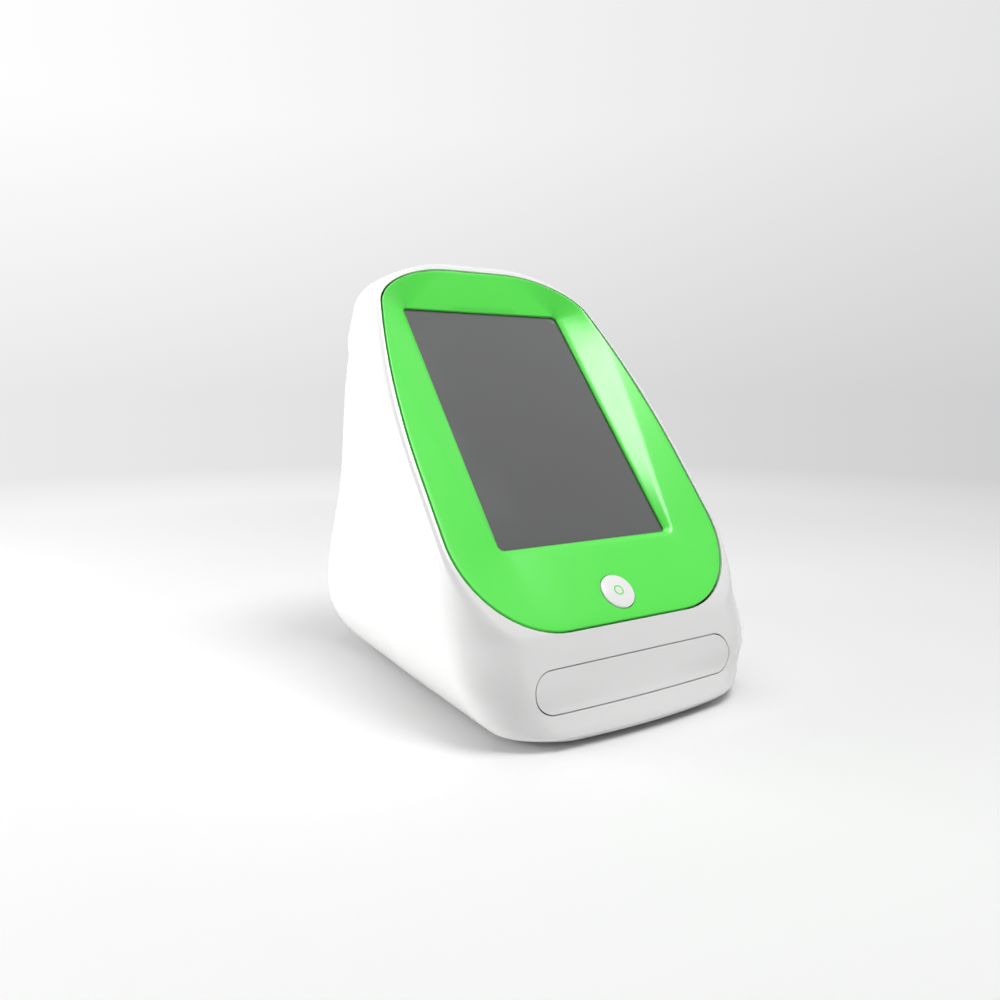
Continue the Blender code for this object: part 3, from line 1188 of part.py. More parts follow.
def connector_panel():
    """The plate at the end of the rear bay, with the power inlet, two data sockets, the network
    socket and the power switch in it."""
    middle = (BAY_LOW + BAY_HIGH) / 2
    low = (-BAY_HALF_WIDTH + FIT, BAY_FRONT, BAY_LOW + FIT)
    high = (BAY_HALF_WIDTH - FIT, BAY_FRONT + PLATE_THICKNESS, BAY_HIGH - FIT)
    plate = box("connector_plate", low, high, STEEL)
    face = high[1]

    centre = BAY_HALF_WIDTH * INLET_PLACE_SHARE
    start = (centre, face + SOCKET_PROUD, middle)
    length = SOCKET_DEPTH + SOCKET_PROUD
    inlet = rod("power_inlet", start, (0, -1, 0), INLET_RADIUS, length, BLACK)
    mouth = (centre, start[1] + OVERRUN, middle)
    cut(inlet, rod("inlet_bore", mouth, (0, -1, 0), INLET_BORE, OVERRUN + length - 2 * SOCKET_WALL))
    opening = (centre, face + OVERRUN, middle)
    through = PLATE_THICKNESS + 2 * OVERRUN
    cut(plate, rod("plate_inlet_hole", opening, (0, -1, 0), INLET_RADIUS + FIT, through))

    sockets = [("network_socket", NETWORK_PLACE_SHARE, NETWORK_WIDTH, NETWORK_HEIGHT)]
    for index, share in enumerate(USB_PLACE_SHARES):
        sockets.append((f"usb_socket_{index + 1}", share, USB_WIDTH, USB_HEIGHT))
    for name, share, width, height in sockets:
        centre = BAY_HALF_WIDTH * share
        low = (centre - width / 2, face - SOCKET_DEPTH, middle - height / 2)
        high = (centre + width / 2, face + SOCKET_PROUD, middle + height / 2)
        socket = box(name, low, high, STEEL)
        hollow_low = (low[0] + SOCKET_WALL, low[1] + SOCKET_WALL, low[2] + SOCKET_WALL)
        hollow_high = (high[0] - SOCKET_WALL, high[1] + OVERRUN, high[2] - SOCKET_WALL)
        cut(socket, box(name + "_mouth", hollow_low, hollow_high))
        hole_low = (low[0] - FIT, BAY_FRONT - OVERRUN, low[2] - FIT)
        hole_high = (high[0] + FIT, face + OVERRUN, high[2] + FIT)
        cut(plate, box(name + "_hole", hole_low, hole_high))

    centre = BAY_HALF_WIDTH * SWITCH_PLACE_SHARE
    low = (centre - SWITCH_FRAME_WIDTH / 2, face - SOCKET_DEPTH, middle - SWITCH_FRAME_HEIGHT / 2)
    high = (centre + SWITCH_FRAME_WIDTH / 2, face + SOCKET_PROUD, middle + SWITCH_FRAME_HEIGHT / 2)
    frame = box("switch_frame", low, high, BLACK)
    inner_low = (low[0] + SWITCH_RIM, face - SOCKET_DEPTH / 2, low[2] + SWITCH_RIM)
    inner_high = (high[0] - SWITCH_RIM, high[1] + OVERRUN, high[2] - SWITCH_RIM)
    cut(frame, box("switch_well", inner_low, inner_high))
    hole_low = (low[0] - FIT, BAY_FRONT - OVERRUN, low[2] - FIT)
    cut(plate, box("switch_hole", hole_low, (high[0] + FIT, face + OVERRUN, high[2] + FIT)))

    # The rocker tips about a pin across the switch, a little inside its face
    pivot = (centre, face, middle)
    wide = SWITCH_FRAME_WIDTH / 2 - SWITCH_RIM - ROCKER_PLAY
    tall = SWITCH_FRAME_HEIGHT / 2 - SWITCH_RIM - 2 * ROCKER_PLAY
    outline = [
        (-tall, -ROCKER_THICKNESS / 2),
        (0.0, -ROCKER_THICKNESS / 2 - ROCKER_HEEL),
        (tall, -ROCKER_THICKNESS / 2),
        (tall, ROCKER_THICKNESS / 2),
        (0.0, ROCKER_THICKNESS / 2 - ROCKER_DIP),
        (-tall, ROCKER_THICKNESS / 2),
    ]
    turn = Matrix.Rotation(-ROCKER_TILT, 3, "X")

    def tipped(point, end):
        local = turn @ Vector((0.0, point[1], point[0]))
        return Vector(pivot) + local + Vector((wide * (2 * end - 1), 0.0, 0.0))

    prism("power_rocker", outline, tipped, BLACK, pivot)


def main():
    clear_scene()
    hollow = body_solid("hollow", WALL)
    main_housing(hollow)
    rear_cover(hollow)
    base_tray()
    base_fasteners()
    front_bezel()
    screen_stack()
    home_key()
    tray_front = drawer_pieces()
    wing = rails_and_chassis()
    drive_rear = drawer_drive(tray_front)
    reading_head(wing, tray_front)
    main_board(wing, drive_rear + TRAY_PLATE_GAP)
    connector_panel()


main()
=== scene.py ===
"""The looks of a desktop immunoassay analyser: a white wedge-shaped casing, a green dished bezel round
a touch screen, a round key below it and a cassette drawer at the foot of the front."""

from math import atan2, cos, pi, radians, sin

import bpy
from bpy.props import FloatProperty, FloatVectorProperty, PointerProperty
from bpy.types import Operator, Panel, PropertyGroup
from mathutils import Matrix, Vector


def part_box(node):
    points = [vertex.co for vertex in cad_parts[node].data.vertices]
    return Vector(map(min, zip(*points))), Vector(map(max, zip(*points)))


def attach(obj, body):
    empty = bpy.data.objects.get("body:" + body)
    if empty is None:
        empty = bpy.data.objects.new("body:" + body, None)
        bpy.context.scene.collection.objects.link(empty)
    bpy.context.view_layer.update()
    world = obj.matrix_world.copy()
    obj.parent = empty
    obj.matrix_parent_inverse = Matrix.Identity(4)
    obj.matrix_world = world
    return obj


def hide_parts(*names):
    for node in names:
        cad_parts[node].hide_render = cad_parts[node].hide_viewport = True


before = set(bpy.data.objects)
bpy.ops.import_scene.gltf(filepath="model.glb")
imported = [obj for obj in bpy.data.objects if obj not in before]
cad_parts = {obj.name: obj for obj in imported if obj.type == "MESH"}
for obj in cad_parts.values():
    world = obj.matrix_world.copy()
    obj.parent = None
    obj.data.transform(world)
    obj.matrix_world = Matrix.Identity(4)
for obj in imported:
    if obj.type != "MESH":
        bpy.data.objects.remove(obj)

bl_info = {
    "name": "Immunoassay Analyser",
    "version": (1, 0, 0),
    "blender": (4, 5, 0),
    "location": "View3D > Sidebar > Analyser",
    "description": "Builds the casing, bezel, screen, drawer and fittings of a desktop analyser",
    "category": "Add Mesh",
}

# The casing's profile, in metres
FOOT_HEIGHT = 0.003
CASING_DEPTH = 0.231
CASING_HEIGHT = 0.227
CASING_FRONT = -CASING_DEPTH / 2
CASING_BACK = CASING_DEPTH / 2
CASING_TOP = FOOT_HEIGHT + CASING_HEIGHT
TUCK_HEIGHT = 0.028
TUCK_DEPTH = 0.0205
TUCK_POWER = 1.6
TAIL_DRAW = 0.0028
NOSE_CORNER_RUN = 0.030
NOSE_CORNER_RISE = 0.038
SHOULDER_HEIGHT = 0.080
REAR_CORNER_RUN = 0.034
REAR_CORNER_DEPTH = 0.030
FRONT_EDGE = 0.003
FRONT_BULGE = 0.005
DRAWER_HEIGHT = 0.0247
DRAWER_WIDTH = 0.118
DRAWER_TALL = 0.0184
BACK_HEIGHTS = (0.0, 0.03, 0.09, 0.15, 0.21, 0.31, 0.40, 0.49, 0.60, 0.77, 0.86, 0.93, 0.97, 0.99, 1.0)
BACK_DEPTHS = (
    0.860, 0.915, 0.972, 1.0, 0.993, 0.950, 0.903, 0.870, 0.858, 0.870, 0.870, 0.857, 0.834, 0.807, 0.775,
)
NOSE_HEIGHTS = (0.0, 0.07, 0.14, 0.28, 0.50, 0.69, 1.0)
NOSE_DEPTHS = (0.14, 0.0, 0.12, 0.39, 0.60, 0.74, 1.0)
# The soft step down each side, from behind the bezel's top to above the drawer, as (depth, height)
CREASE = (
    (0.0820, 0.2200), (0.0560, 0.1860), (0.0430, 0.1697), (0.0361, 0.1507), (0.0203, 0.1260),
    (0.0055, 0.0992), (-0.0102, 0.0791), (-0.0254, 0.0665), (-0.0389, 0.0600), (-0.0520, 0.0560),
)

# The screen's plane and the bezel's outline in it
SCREEN_LEAN = radians(40.65)
SCREEN_CENTRE = Vector((0.0, CASING_FRONT + 0.1034, 0.1405))
SCREEN_UP = Vector((0.0, sin(SCREEN_LEAN), cos(SCREEN_LEAN)))
SCREEN_OUT = Vector((0.0, -cos(SCREEN_LEAN), sin(SCREEN_LEAN)))
SCREEN_SIDE = Vector((1.0, 0.0, 0.0))
WINDOW_WIDTH = 0.105
WINDOW_TALL = 0.160
WINDOW_CORNER = 0.003
RIM_HALF_WIDTH = 0.083
RIM_BOTTOM = -0.127
RIM_TOP = 0.1035
RIM_WIDEST = -0.037
RIM_SIDE_DRAW = 0.0206
RIM_LOW_RUN = 0.04725
RIM_LOW_RISE = 0.0525
RIM_HIGH_RUN = 0.045
RIM_HIGH_RISE = 0.0294
RIM_STAND_LOW = 0.0063
RIM_STAND_HIGH = 0.0113
RIM_LAND = 0.0032
SEAT_DEPTH = 0.0105
WALL_LOW_SHARE = 0.06
WALL_HIGH_SHARE = 1.06
KNEE_LEAST_SHARE = 0.06
KNEE_FALL_SHARE = 0.6
LIP = 0.0015
GLASS_GAP = 0.0003
GLASS_LAP = 0.0035
GLASS_THICKNESS = 0.002
KEY_RADIUS = 0.0092
KEY_SEAT = Vector((0.0, -0.08904, 0.06026))
KEY_AXIS = Vector((0.0, -0.7164, 0.6977))

# The rear cover, its connector bay and its vents
BAY_HALF_WIDTH = 0.048
BAY_LOW = 0.021
BAY_HIGH = 0.045
BAY_DEPTH = 0.017
BAY_FLOOR = 0.0015
BAY_WALL = 0.002
COVER_HALF_WIDTH = 0.056
COVER_LOW = 0.014
COVER_HIGH = 0.152
COVER_CORNER = 0.004
COVER_FRONT = 0.045
VENT_COUNT = 7
VENT_STEP = 0.011
VENT_HALF_TALL = 0.023
VENT_HEIGHT = 0.095
ROCKER_PIVOT = Vector((-0.03648, 0.0985, 0.033))
ROCKER_HALF_WIDTH = 0.0058
ROCKER_HALF_TALL = 0.0083
ROCKER_TILT = radians(-6.0)

# The casing's screw posts and the tray's cassette bays
POST_INNER = 0.050
POST_LOW = 0.0063
POST_HIGH = 0.0107
POST_HALF_DEPTH = 0.006
CASSETTE_COUNT = 4
CASSETTE_STEP = 0.02475
CASSETTE_HALF_WIDTH = 0.01075
CASSETTE_HALF_LENGTH = 0.036
TRAY_FLOOR = 0.003
NOTCH_RADIUS = 0.0075

# How far a cutter reaches past what it cuts, and the sharpest bend that is shaded smooth
OVERCUT = 0.002
SMOOTH_ANGLE = radians(32.0)

# The photographer's camera and the backdrop, which is paler on one side of the view
CAMERA_PLACE = Vector((-0.24183, -0.37267, 0.15489))
CAMERA_TURN = (radians(90 - 7.823), 0.0, radians(-31.65))
CAMERA_LENS = 28.221
CAMERA_SENSOR = 36.0
BACKDROP_SIDE = Vector((0.8513, -0.5247, 0.0))
BACKDROP_LEAN = 0.24
HORIZON_TONE = 0.725
HEAD_TONE = 0.89
HEAD_HEIGHT = 0.30
FLOOR_TONE = 0.93
EVEN_LIGHT = 0.16

# Finish colours that users seldom change
STEEL = (0.56, 0.57, 0.58)
BRASS = (0.66, 0.50, 0.22)
GOLD = (0.80, 0.58, 0.20)
BLACK = (0.022, 0.022, 0.024)
GREY = (0.26, 0.27, 0.28)
NATURAL = (0.74, 0.74, 0.70)
BOARD = (0.02, 0.15, 0.06)


def length_choice(name, description, default):
    """A length that a user may change."""
    return FloatProperty(name=name, description=description, default=default, unit="LENGTH")


def colour_choice(name, description, default):
    """A colour that a user may change."""
    return FloatVectorProperty(
        name=name, description=description, default=default, subtype="COLOR", min=0.0, max=1.0
    )


class AnalyserSizes(PropertyGroup):
    """Sizes of the analyser that a user may change."""

    shell_wall: length_choice("Shell wall", "Thickness of the casing's wall", 0.0025)
    bezel_gap: length_choice("Bezel gap", "Dark line round the bezel", 0.0011)
    bezel_edge: length_choice("Bezel edge", "Radius of the bezel's outer edge", 0.0007)
    bezel_wall: length_choice("Bezel wall", "Thickness of the bezel", 0.0020)
    knee_softness: length_choice("Knee softness", "Half-width of the bend round the screen", 0.0020)
    drawer_gap: length_choice("Drawer gap", "Dark line round the drawer's face", 0.0006)
    cover_gap: length_choice("Cover gap", "Line round the rear cover", 0.0005)
    crease_depth: length_choice("Crease depth", "How far the lower side steps in", 0.0022)
    crease_width: length_choice("Crease width", "Width of the side's soft step", 0.006)
    key_crown: length_choice("Key crown", "Rise of the key's middle", 0.0006)
    ring_radius: length_choice("Key ring radius", "Radius of the ring printed on the key", 0.0023)
    ring_line: length_choice("Key ring line", "Line width of the printed ring", 0.0008)
    vent_width: length_choice("Vent width", "Width of one slot in the rear cover", 0.0035)


class AnalyserColours(PropertyGroup):
    """Colours of the analyser and of the studio that a user may change."""

    shell: colour_choice("Shell", "Colour of the casing", (0.86, 0.86, 0.855))
    bezel: colour_choice("Bezel", "Colour of the bezel", (0.085, 0.86, 0.065))
    glass: colour_choice("Glass", "Tone of the dark screen", (0.105, 0.105, 0.107))
    floor: colour_choice("Floor", "Colour of the floor", (0.88, 0.88, 0.88))


def curve_at(place, knots, values):
    """A smooth curve through values, read at one place."""
    last = len(knots) - 2
    index = 0
    while index < last and place > knots[index + 1]:
        index += 1
    left = max(index - 1, 0)
    right = min(index + 2, last + 1)
    span = knots[index + 1] - knots[index]
    start_slope = (values[index + 1] - values[left]) / (knots[index + 1] - knots[left])
    end_slope = (values[right] - values[index]) / (knots[right] - knots[index])
    t = min(max((place - knots[index]) / span, 0.0), 1.0)
    return (
        (2 * t**3 - 3 * t**2 + 1) * values[index]
        + (t**3 - 2 * t**2 + t) * span * start_slope
        + (3 * t**2 - 2 * t**3) * values[index + 1]
        + (t**3 - t**2) * span * end_slope
    )


def eased(share):
    share = min(max(share, 0.0), 1.0)
    return share * share * (3 - 2 * share)


def on_screen(side, up, out):
    return SCREEN_CENTRE + side * SCREEN_SIDE + up * SCREEN_UP + out * SCREEN_OUT


def rim_stand(up):
    """How far the bezel's rim stands in front of the glass."""
    share = (up - RIM_BOTTOM) / (RIM_TOP - RIM_BOTTOM)
    return RIM_STAND_LOW + share * (RIM_STAND_HIGH - RIM_STAND_LOW)


def slope_at(value, axis):
    """The place along the rim's plane whose world coordinate on the given axis is value."""
    low = on_screen(0.0, RIM_BOTTOM, RIM_STAND_LOW)[axis]
    high = on_screen(0.0, RIM_TOP, RIM_STAND_HIGH)[axis]
    return RIM_BOTTOM + (value - low) / (high - low) * (RIM_TOP - RIM_BOTTOM)


def corner_loss(distance, run, rise, power=2.0):
    """How far a rounded corner has drawn in at a distance beyond its start."""
    share = min(max(distance / rise, 0.0), 1.0)
    return run * (1 - (1 - share**power) ** (1 / power))


def high_loss(up, grow, crown):
    """What an outline loses towards its head, which lies a crown above the rim's."""
    lean = max(up - RIM_WIDEST, 0.0) / (RIM_TOP - RIM_WIDEST)
    start = RIM_TOP - RIM_HIGH_RISE
    corner = corner_loss(up - start, RIM_HIGH_RUN + grow, RIM_HIGH_RISE + crown)
    return RIM_SIDE_DRAW * lean * lean + corner


def low_loss(up, grow):
    start = RIM_BOTTOM + RIM_LOW_RISE
    return corner_loss(start - up, RIM_LOW_RUN + grow, RIM_LOW_RISE + grow)


def mirrored(right):
    """A closed outline from its right half, which starts and ends on the middle line."""
    return right + [(-side, up) for side, up in reversed(right[1:-1])]


def rim_outline(grow, run_steps=10, corner_steps=18, side_steps=26):
    """The bezel's outline as (side, up) points, anticlockwise from the middle of its foot."""
    half = RIM_HALF_WIDTH + grow
    low_end = RIM_BOTTOM - grow
    high_end = RIM_TOP + grow
    low_start = RIM_BOTTOM + RIM_LOW_RISE
    high_start = RIM_TOP - RIM_HIGH_RISE
    run = half - RIM_LOW_RUN - grow
    right = [(run * step / run_steps, low_end) for step in range(run_steps)]
    for step in range(corner_steps):
        up = low_start - (low_start - low_end) * cos(pi / 2 * step / corner_steps)
        right.append((half - low_loss(up, grow), up))
    for step in range(side_steps):
        up = low_start + (high_start - low_start) * step / side_steps
        right.append((half - high_loss(up, grow, grow), up))
    for step in range(corner_steps):
        up = high_start + (high_end - high_start) * sin(pi / 2 * step / corner_steps)
        right.append((half - high_loss(up, grow, grow), up))
    run = half - high_loss(high_end, grow, grow)
    right += [(run * (1 - step / run_steps), high_end) for step in range(run_steps + 1)]
    return mirrored(right)


def window_outline(grow, run_steps=10, corner_steps=18, side_steps=26):
    """The screen window's outline, with as many points in each stretch as the rim's."""
    corner = WINDOW_CORNER + grow
    wide = WINDOW_WIDTH / 2 + grow - corner
    tall = WINDOW_TALL / 2 + grow - corner
    right = [(wide * step / run_steps, -tall - corner) for step in range(run_steps)]
    for step in range(corner_steps):
        angle = pi / 2 * step / corner_steps
        right.append((wide + corner * sin(angle), -tall - corner * cos(angle)))
    for step in range(side_steps):
        right.append((wide + corner, -tall + 2 * tall * step / side_steps))
    for step in range(corner_steps):
        angle = pi / 2 * step / corner_steps
        right.append((wide + corner * cos(angle), tall + corner * sin(angle)))
    right += [(wide * (1 - step / run_steps), tall + corner) for step in range(run_steps + 1)]
    return mirrored(right)


def front_at(height):
    """The casing's foremost place at a height, on its middle line."""
    rim_foot = on_screen(0.0, RIM_BOTTOM, RIM_STAND_LOW)
    if height >= rim_foot.z:
        rounding = max(FRONT_EDGE - (CASING_TOP - height), 0.0)
        inset = FRONT_EDGE - (FRONT_EDGE**2 - rounding**2) ** 0.5
        up = slope_at(height, 2)
        return on_screen(0.0, up, rim_stand(up)).y + inset
    share = (height - FOOT_HEIGHT) / (rim_foot.z - FOOT_HEIGHT)
    return CASING_FRONT + (rim_foot.y - CASING_FRONT) * curve_at(share, NOSE_HEIGHTS, NOSE_DEPTHS)


def back_at(height):
    share = (height - FOOT_HEIGHT) / CASING_HEIGHT
    return CASING_FRONT + CASING_DEPTH * curve_at(share, BACK_HEIGHTS, BACK_DEPTHS)


def crease_at(depth, height, sizes):
    """How far the lower rear of the side lies behind the band that carries the bezel."""
    lengths = []
    for start, end in zip(CREASE, CREASE[1:]):
        lengths.append(((end[0] - start[0]) ** 2 + (end[1] - start[1]) ** 2) ** 0.5)
    whole = sum(lengths)
    nearest = None
    run = 0.0
    for start, end, length in zip(CREASE, CREASE[1:], lengths):
        along = ((end[0] - start[0]) / length, (end[1] - start[1]) / length)
        away = (depth - start[0], height - start[1])
        t = min(max(away[0] * along[0] + away[1] * along[1], 0.0), length)
        gap = ((away[0] - t * along[0]) ** 2 + (away[1] - t * along[1]) ** 2) ** 0.5
        side = along[0] * away[1] - along[1] * away[0]
        if nearest is None or gap < nearest[0]:
            nearest = (gap, side, (run + t) / whole)
        run += length
    gap, side, share = nearest
    if side < 0:
        return 0.0
    fade = eased((1 - share) / 0.45)
    width = sizes.crease_width * (1 + 4 * eased((share - 0.55) / 0.45))
    low = eased((height - 0.008) / 0.032)
    return sizes.crease_depth * fade * low * eased(gap / width)


def half_width_at(depth, height, drawn, sizes):
    """The casing's half-width at a place on its side, before the rear corner turns in."""
    rim_foot = on_screen(0.0, RIM_BOTTOM, RIM_STAND_LOW)
    shift = rim_foot.y - front_at(height) if height < rim_foot.z else 0.0
    nose = max(slope_at(depth + shift - drawn, 1), RIM_BOTTOM)
    fullness = eased((SHOULDER_HEIGHT - height) / (SHOULDER_HEIGHT - DRAWER_HEIGHT - DRAWER_TALL / 2))
    run = RIM_LOW_RUN + fullness * (NOSE_CORNER_RUN - RIM_LOW_RUN) + RIM_LAND
    rise = RIM_LOW_RISE + fullness * (NOSE_CORNER_RISE - RIM_LOW_RISE)
    corner = corner_loss(RIM_BOTTOM + rise - nose, run, rise + RIM_LAND)
    taper = TAIL_DRAW * max(depth - SCREEN_CENTRE.y, 0.0) / (CASING_DEPTH + CASING_FRONT - SCREEN_CENTRE.y)
    tuck = corner_loss(FOOT_HEIGHT + TUCK_HEIGHT - height, TUCK_DEPTH, TUCK_HEIGHT, TUCK_POWER)
    high = high_loss(slope_at(height, 2), RIM_LAND, slope_at(CASING_TOP, 2) - RIM_TOP)
    step = crease_at(depth, height, sizes)
    return RIM_HALF_WIDTH + RIM_LAND - drawn - corner - high - taper - tuck - step


def casing_ring(height, drawn, sizes, run_steps=10, edge_steps=4, side_steps=30, corner_steps=14):
    """One level outline of the casing, or of the hollow drawn in from it."""
    front = front_at(height) + drawn
    back = back_at(height) - drawn
    share = min(max((height - FOOT_HEIGHT) / (DRAWER_HEIGHT - FOOT_HEIGHT), 0.0), 1.0)
    bulge = FRONT_BULGE * (1 - share)
    edge = min(FRONT_EDGE, (back - front) / 8)
    start = half_width_at(front, height, drawn, sizes)
    right = [(max(start - edge, 0.0) * step / run_steps, front) for step in range(run_steps)]
    after = half_width_at(front + edge, height, drawn, sizes)
    for step in range(edge_steps):
        t = step / edge_steps
        side = (1 - t) ** 2 * (start - edge) + 2 * t * (1 - t) * start + t * t * after
        right.append((side, front + t * t * edge))
    corner_depth = min(REAR_CORNER_DEPTH - drawn, (back - front) * 0.45)
    turn = back - corner_depth
    for step in range(side_steps):
        depth = front + edge + (turn - front - edge) * (step / side_steps) ** 1.35
        right.append((half_width_at(depth, height, drawn, sizes), depth))
    wide = half_width_at(turn, height, drawn, sizes)
    corner_run = min(REAR_CORNER_RUN - drawn, wide * 0.775)
    for step in range(corner_steps):
        angle = pi / 2 * step / corner_steps
        right.append((wide - corner_run * (1 - cos(angle)), turn + corner_depth * sin(angle)))
    flat = wide - corner_run
    right += [(flat * (1 - step / run_steps), back) for step in range(run_steps + 1)]
    bulged = []
    for side, depth in right:
        share = min(side / (DRAWER_WIDTH / 2), 1.0)
        near = max(1 - (depth - front) / REAR_CORNER_DEPTH, 0.0)
        bulged.append((side, depth + bulge * share * share * near))
    return [Vector((side, depth, height)) for side, depth in mirrored(bulged)]


def level_heights():
    """Heights of the casing's rings, close together where its form turns quickly."""
    low = FOOT_HEIGHT + TUCK_HEIGHT
    high = CASING_TOP - 0.026
    heights = [FOOT_HEIGHT + TUCK_HEIGHT * (1 - cos(pi / 2 * step / 14)) for step in range(14)]
    heights += [low + (high - low) * step / 64 for step in range(64)]
    heights += [high + (CASING_TOP - high) * sin(pi / 2 * step / 18) for step in range(19)]
    return heights


def casing_rings(drawn, sizes):
    """Rings of the outer form, or of the hollow, which runs out below."""
    rings = []
    for height in level_heights():
        ring = casing_ring(height, drawn, sizes)
        share = (height - FOOT_HEIGHT) / CASING_HEIGHT
        rings.append([Vector((point.x, point.y, point.z - drawn * share)) for point in ring])
    if drawn:
        rings.insert(0, [Vector((point.x, point.y, point.z - 0.002)) for point in rings[0]])
    return rings


def select_only(*pieces):
    bpy.ops.object.select_all(action="DESELECT")
    for piece in pieces:
        piece.select_set(True)
    bpy.context.view_layer.objects.active = pieces[0]


def wrapped(rings, loop=False):
    """A grid primitive bent through rings of points into a closed body, or round on itself."""
    around = len(rings[0])
    if loop:
        rings = list(rings) + [rings[0]]
    along = len(rings) - 1
    bpy.ops.object.select_all(action="DESELECT")
    bpy.ops.mesh.primitive_grid_add(x_subdivisions=around, y_subdivisions=along, size=2.0)
    piece = bpy.context.object
    for vertex in piece.data.vertices:
        step = round((vertex.co.x + 1) / 2 * around) % around
        ring = round((vertex.co.y + 1) / 2 * along)
        vertex.co = rings[ring][step]
    bpy.ops.object.mode_set(mode="EDIT")
    bpy.ops.mesh.select_all(action="SELECT")
    bpy.ops.mesh.remove_doubles(threshold=0.000001)
    if not loop:
        bpy.ops.mesh.fill_holes(sides=0)
    bpy.ops.mesh.select_all(action="SELECT")
    bpy.ops.mesh.normals_make_consistent(inside=False)
    bpy.ops.object.mode_set(mode="OBJECT")
    return piece


def turned(profile, start, axis, steps):
    """A body turned about an axis from (radius, distance) points."""
    turn = Vector(axis).to_track_quat("Z", "Y").to_matrix()
    rings = []
    for radius, distance in profile:
        ring = []
        for step in range(steps):
            angle = 2 * pi * step / steps
            ring.append(Vector(start) + turn @ Vector((radius * cos(angle), radius * sin(angle), distance)))
        rings.append(ring)
    return wrapped(rings)


def prism(outline, place):
    """An outline carried from level 0 to level 1: place(point, level) gives each world point."""
    return wrapped([[place(point, level) for point in outline] for level in (0, 1)])


def through(outline, span, up, across=0.0):
    """An upright outline carried between two depths, with its middle at a height."""
    return prism(outline, lambda p, level: Vector((across + p[0], span[level], up + p[1])))


def slot_outline(half_width, half_height, radius, steps=8):
    """A rectangle with round corners, anticlockwise from the right, as (across, up)."""
    points = []
    for turn, (x, y) in enumerate(((1, 1), (-1, 1), (-1, -1), (1, -1))):
        for step in range(steps + 1):
            angle = pi / 2 * (turn + step / steps)
            across = x * (half_width - radius) + radius * cos(angle)
            points.append((across, y * (half_height - radius) + radius * sin(angle)))
    return points


def block(low, high, radius=0.0, segments=3):
    """A cube primitive at its size and place, with its edges rounded."""
    low = Vector(low)
    high = Vector(high)
    bpy.ops.object.select_all(action="DESELECT")
    bpy.ops.mesh.primitive_cube_add(size=1.0, location=(low + high) / 2, scale=high - low)
    bpy.ops.object.transform_apply(location=True, rotation=True, scale=True)
    piece = bpy.context.object
    if radius:
        bpy.context.tool_settings.mesh_select_mode = (False, True, False)
        bpy.ops.object.mode_set(mode="EDIT")
        bpy.ops.mesh.select_all(action="SELECT")
        bpy.ops.mesh.bevel(offset=radius, segments=segments, affect="EDGES")
        bpy.ops.object.mode_set(mode="OBJECT")
    return piece


def joined(pieces):
    select_only(*pieces)
    bpy.ops.object.join()
    return bpy.context.object


def copied(piece, matrix=None):
    """A copy with its own mesh, moved by a matrix."""
    copy = piece.copy()
    copy.data = piece.data.copy()
    if matrix is not None:
        copy.data.transform(matrix)
    bpy.context.scene.collection.objects.link(copy)
    return copy


def carved(piece, cutter, operation="DIFFERENCE"):
    """Cuts, joins or trims a piece with another body, which is used up."""
    modifier = piece.modifiers.new("carve", "BOOLEAN")
    modifier.operation = operation
    modifier.object = cutter
    modifier.solver = "EXACT"
    select_only(piece)
    bpy.ops.object.modifier_apply(modifier=modifier.name)
    bpy.data.objects.remove(cutter, do_unlink=True)
    return piece


def dressed(piece, name, body, finish, nodes=()):
    """Names a piece, gives it its finish and body, and hides the nodes that it stands for."""
    piece.name = name
    piece.data.name = name
    select_only(piece)
    bpy.ops.object.transform_apply(location=True, rotation=True, scale=True)
    bpy.ops.object.shade_smooth_by_angle(angle=SMOOTH_ANGLE)
    piece.data.materials.clear()
    piece.data.materials.append(finish)
    if len(piece.data.polygons) < 3:
        raise RuntimeError(f"{name} came out empty")
    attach(piece, body)
    if nodes:
        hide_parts(*nodes)
    bpy.ops.object.select_all(action="DESELECT")
    return piece


class Value:
    """A shader value that reads as Python maths: each operator adds one Math node."""

    def __init__(self, finish, socket):
        self.finish = finish
        self.socket = socket

    def maths(self, operation, *values):
        sockets = dict(enumerate(values))
        node = self.finish.node("ShaderNodeMath", {"operation": operation}, sockets)
        return Value(self.finish, node.outputs[0])

    def __add__(self, other):
        return self.maths("ADD", self, other)

    def __radd__(self, other):
        return self.maths("ADD", other, self)

    def __sub__(self, other):
        return self.maths("SUBTRACT", self, other)

    def __rsub__(self, other):
        return self.maths("SUBTRACT", other, self)

    def __mul__(self, other):
        return self.maths("MULTIPLY", self, other)

    def __rmul__(self, other):
        return self.maths("MULTIPLY", other, self)

    def __truediv__(self, other):
        return self.maths("DIVIDE", self, other)

    def __pow__(self, other):
        return self.maths("POWER", self, other)

    def __abs__(self):
        return self.maths("ABSOLUTE", self)

    def below(self, edge, softness):
        """1 where the value is under an edge, 0 above it, with a soft change."""
        return self.finish.remapped(self, edge + softness, edge - softness)


class Nodes:
    """A node tree and the one way of adding nodes to it."""

    def __init__(self, tree):
        self.tree = tree

    def node(self, kind, settings=None, sockets=None):
        """Adds a node: its settings first, then the values or links of its sockets."""
        node = self.tree.nodes.new(kind)
        for name, value in (settings or {}).items():
            setattr(node, name, value)
        for name, value in (sockets or {}).items():
            self.feed(node.inputs[name], value)
        return node

    def feed(self, socket, value):
        if isinstance(value, Value):
            value = value.socket
        if isinstance(value, bpy.types.NodeSocket):
            self.tree.links.new(value, socket)
        elif socket.type == "RGBA" and len(value) == 3:
            socket.default_value = (*value, 1.0)
        else:
            socket.default_value = value


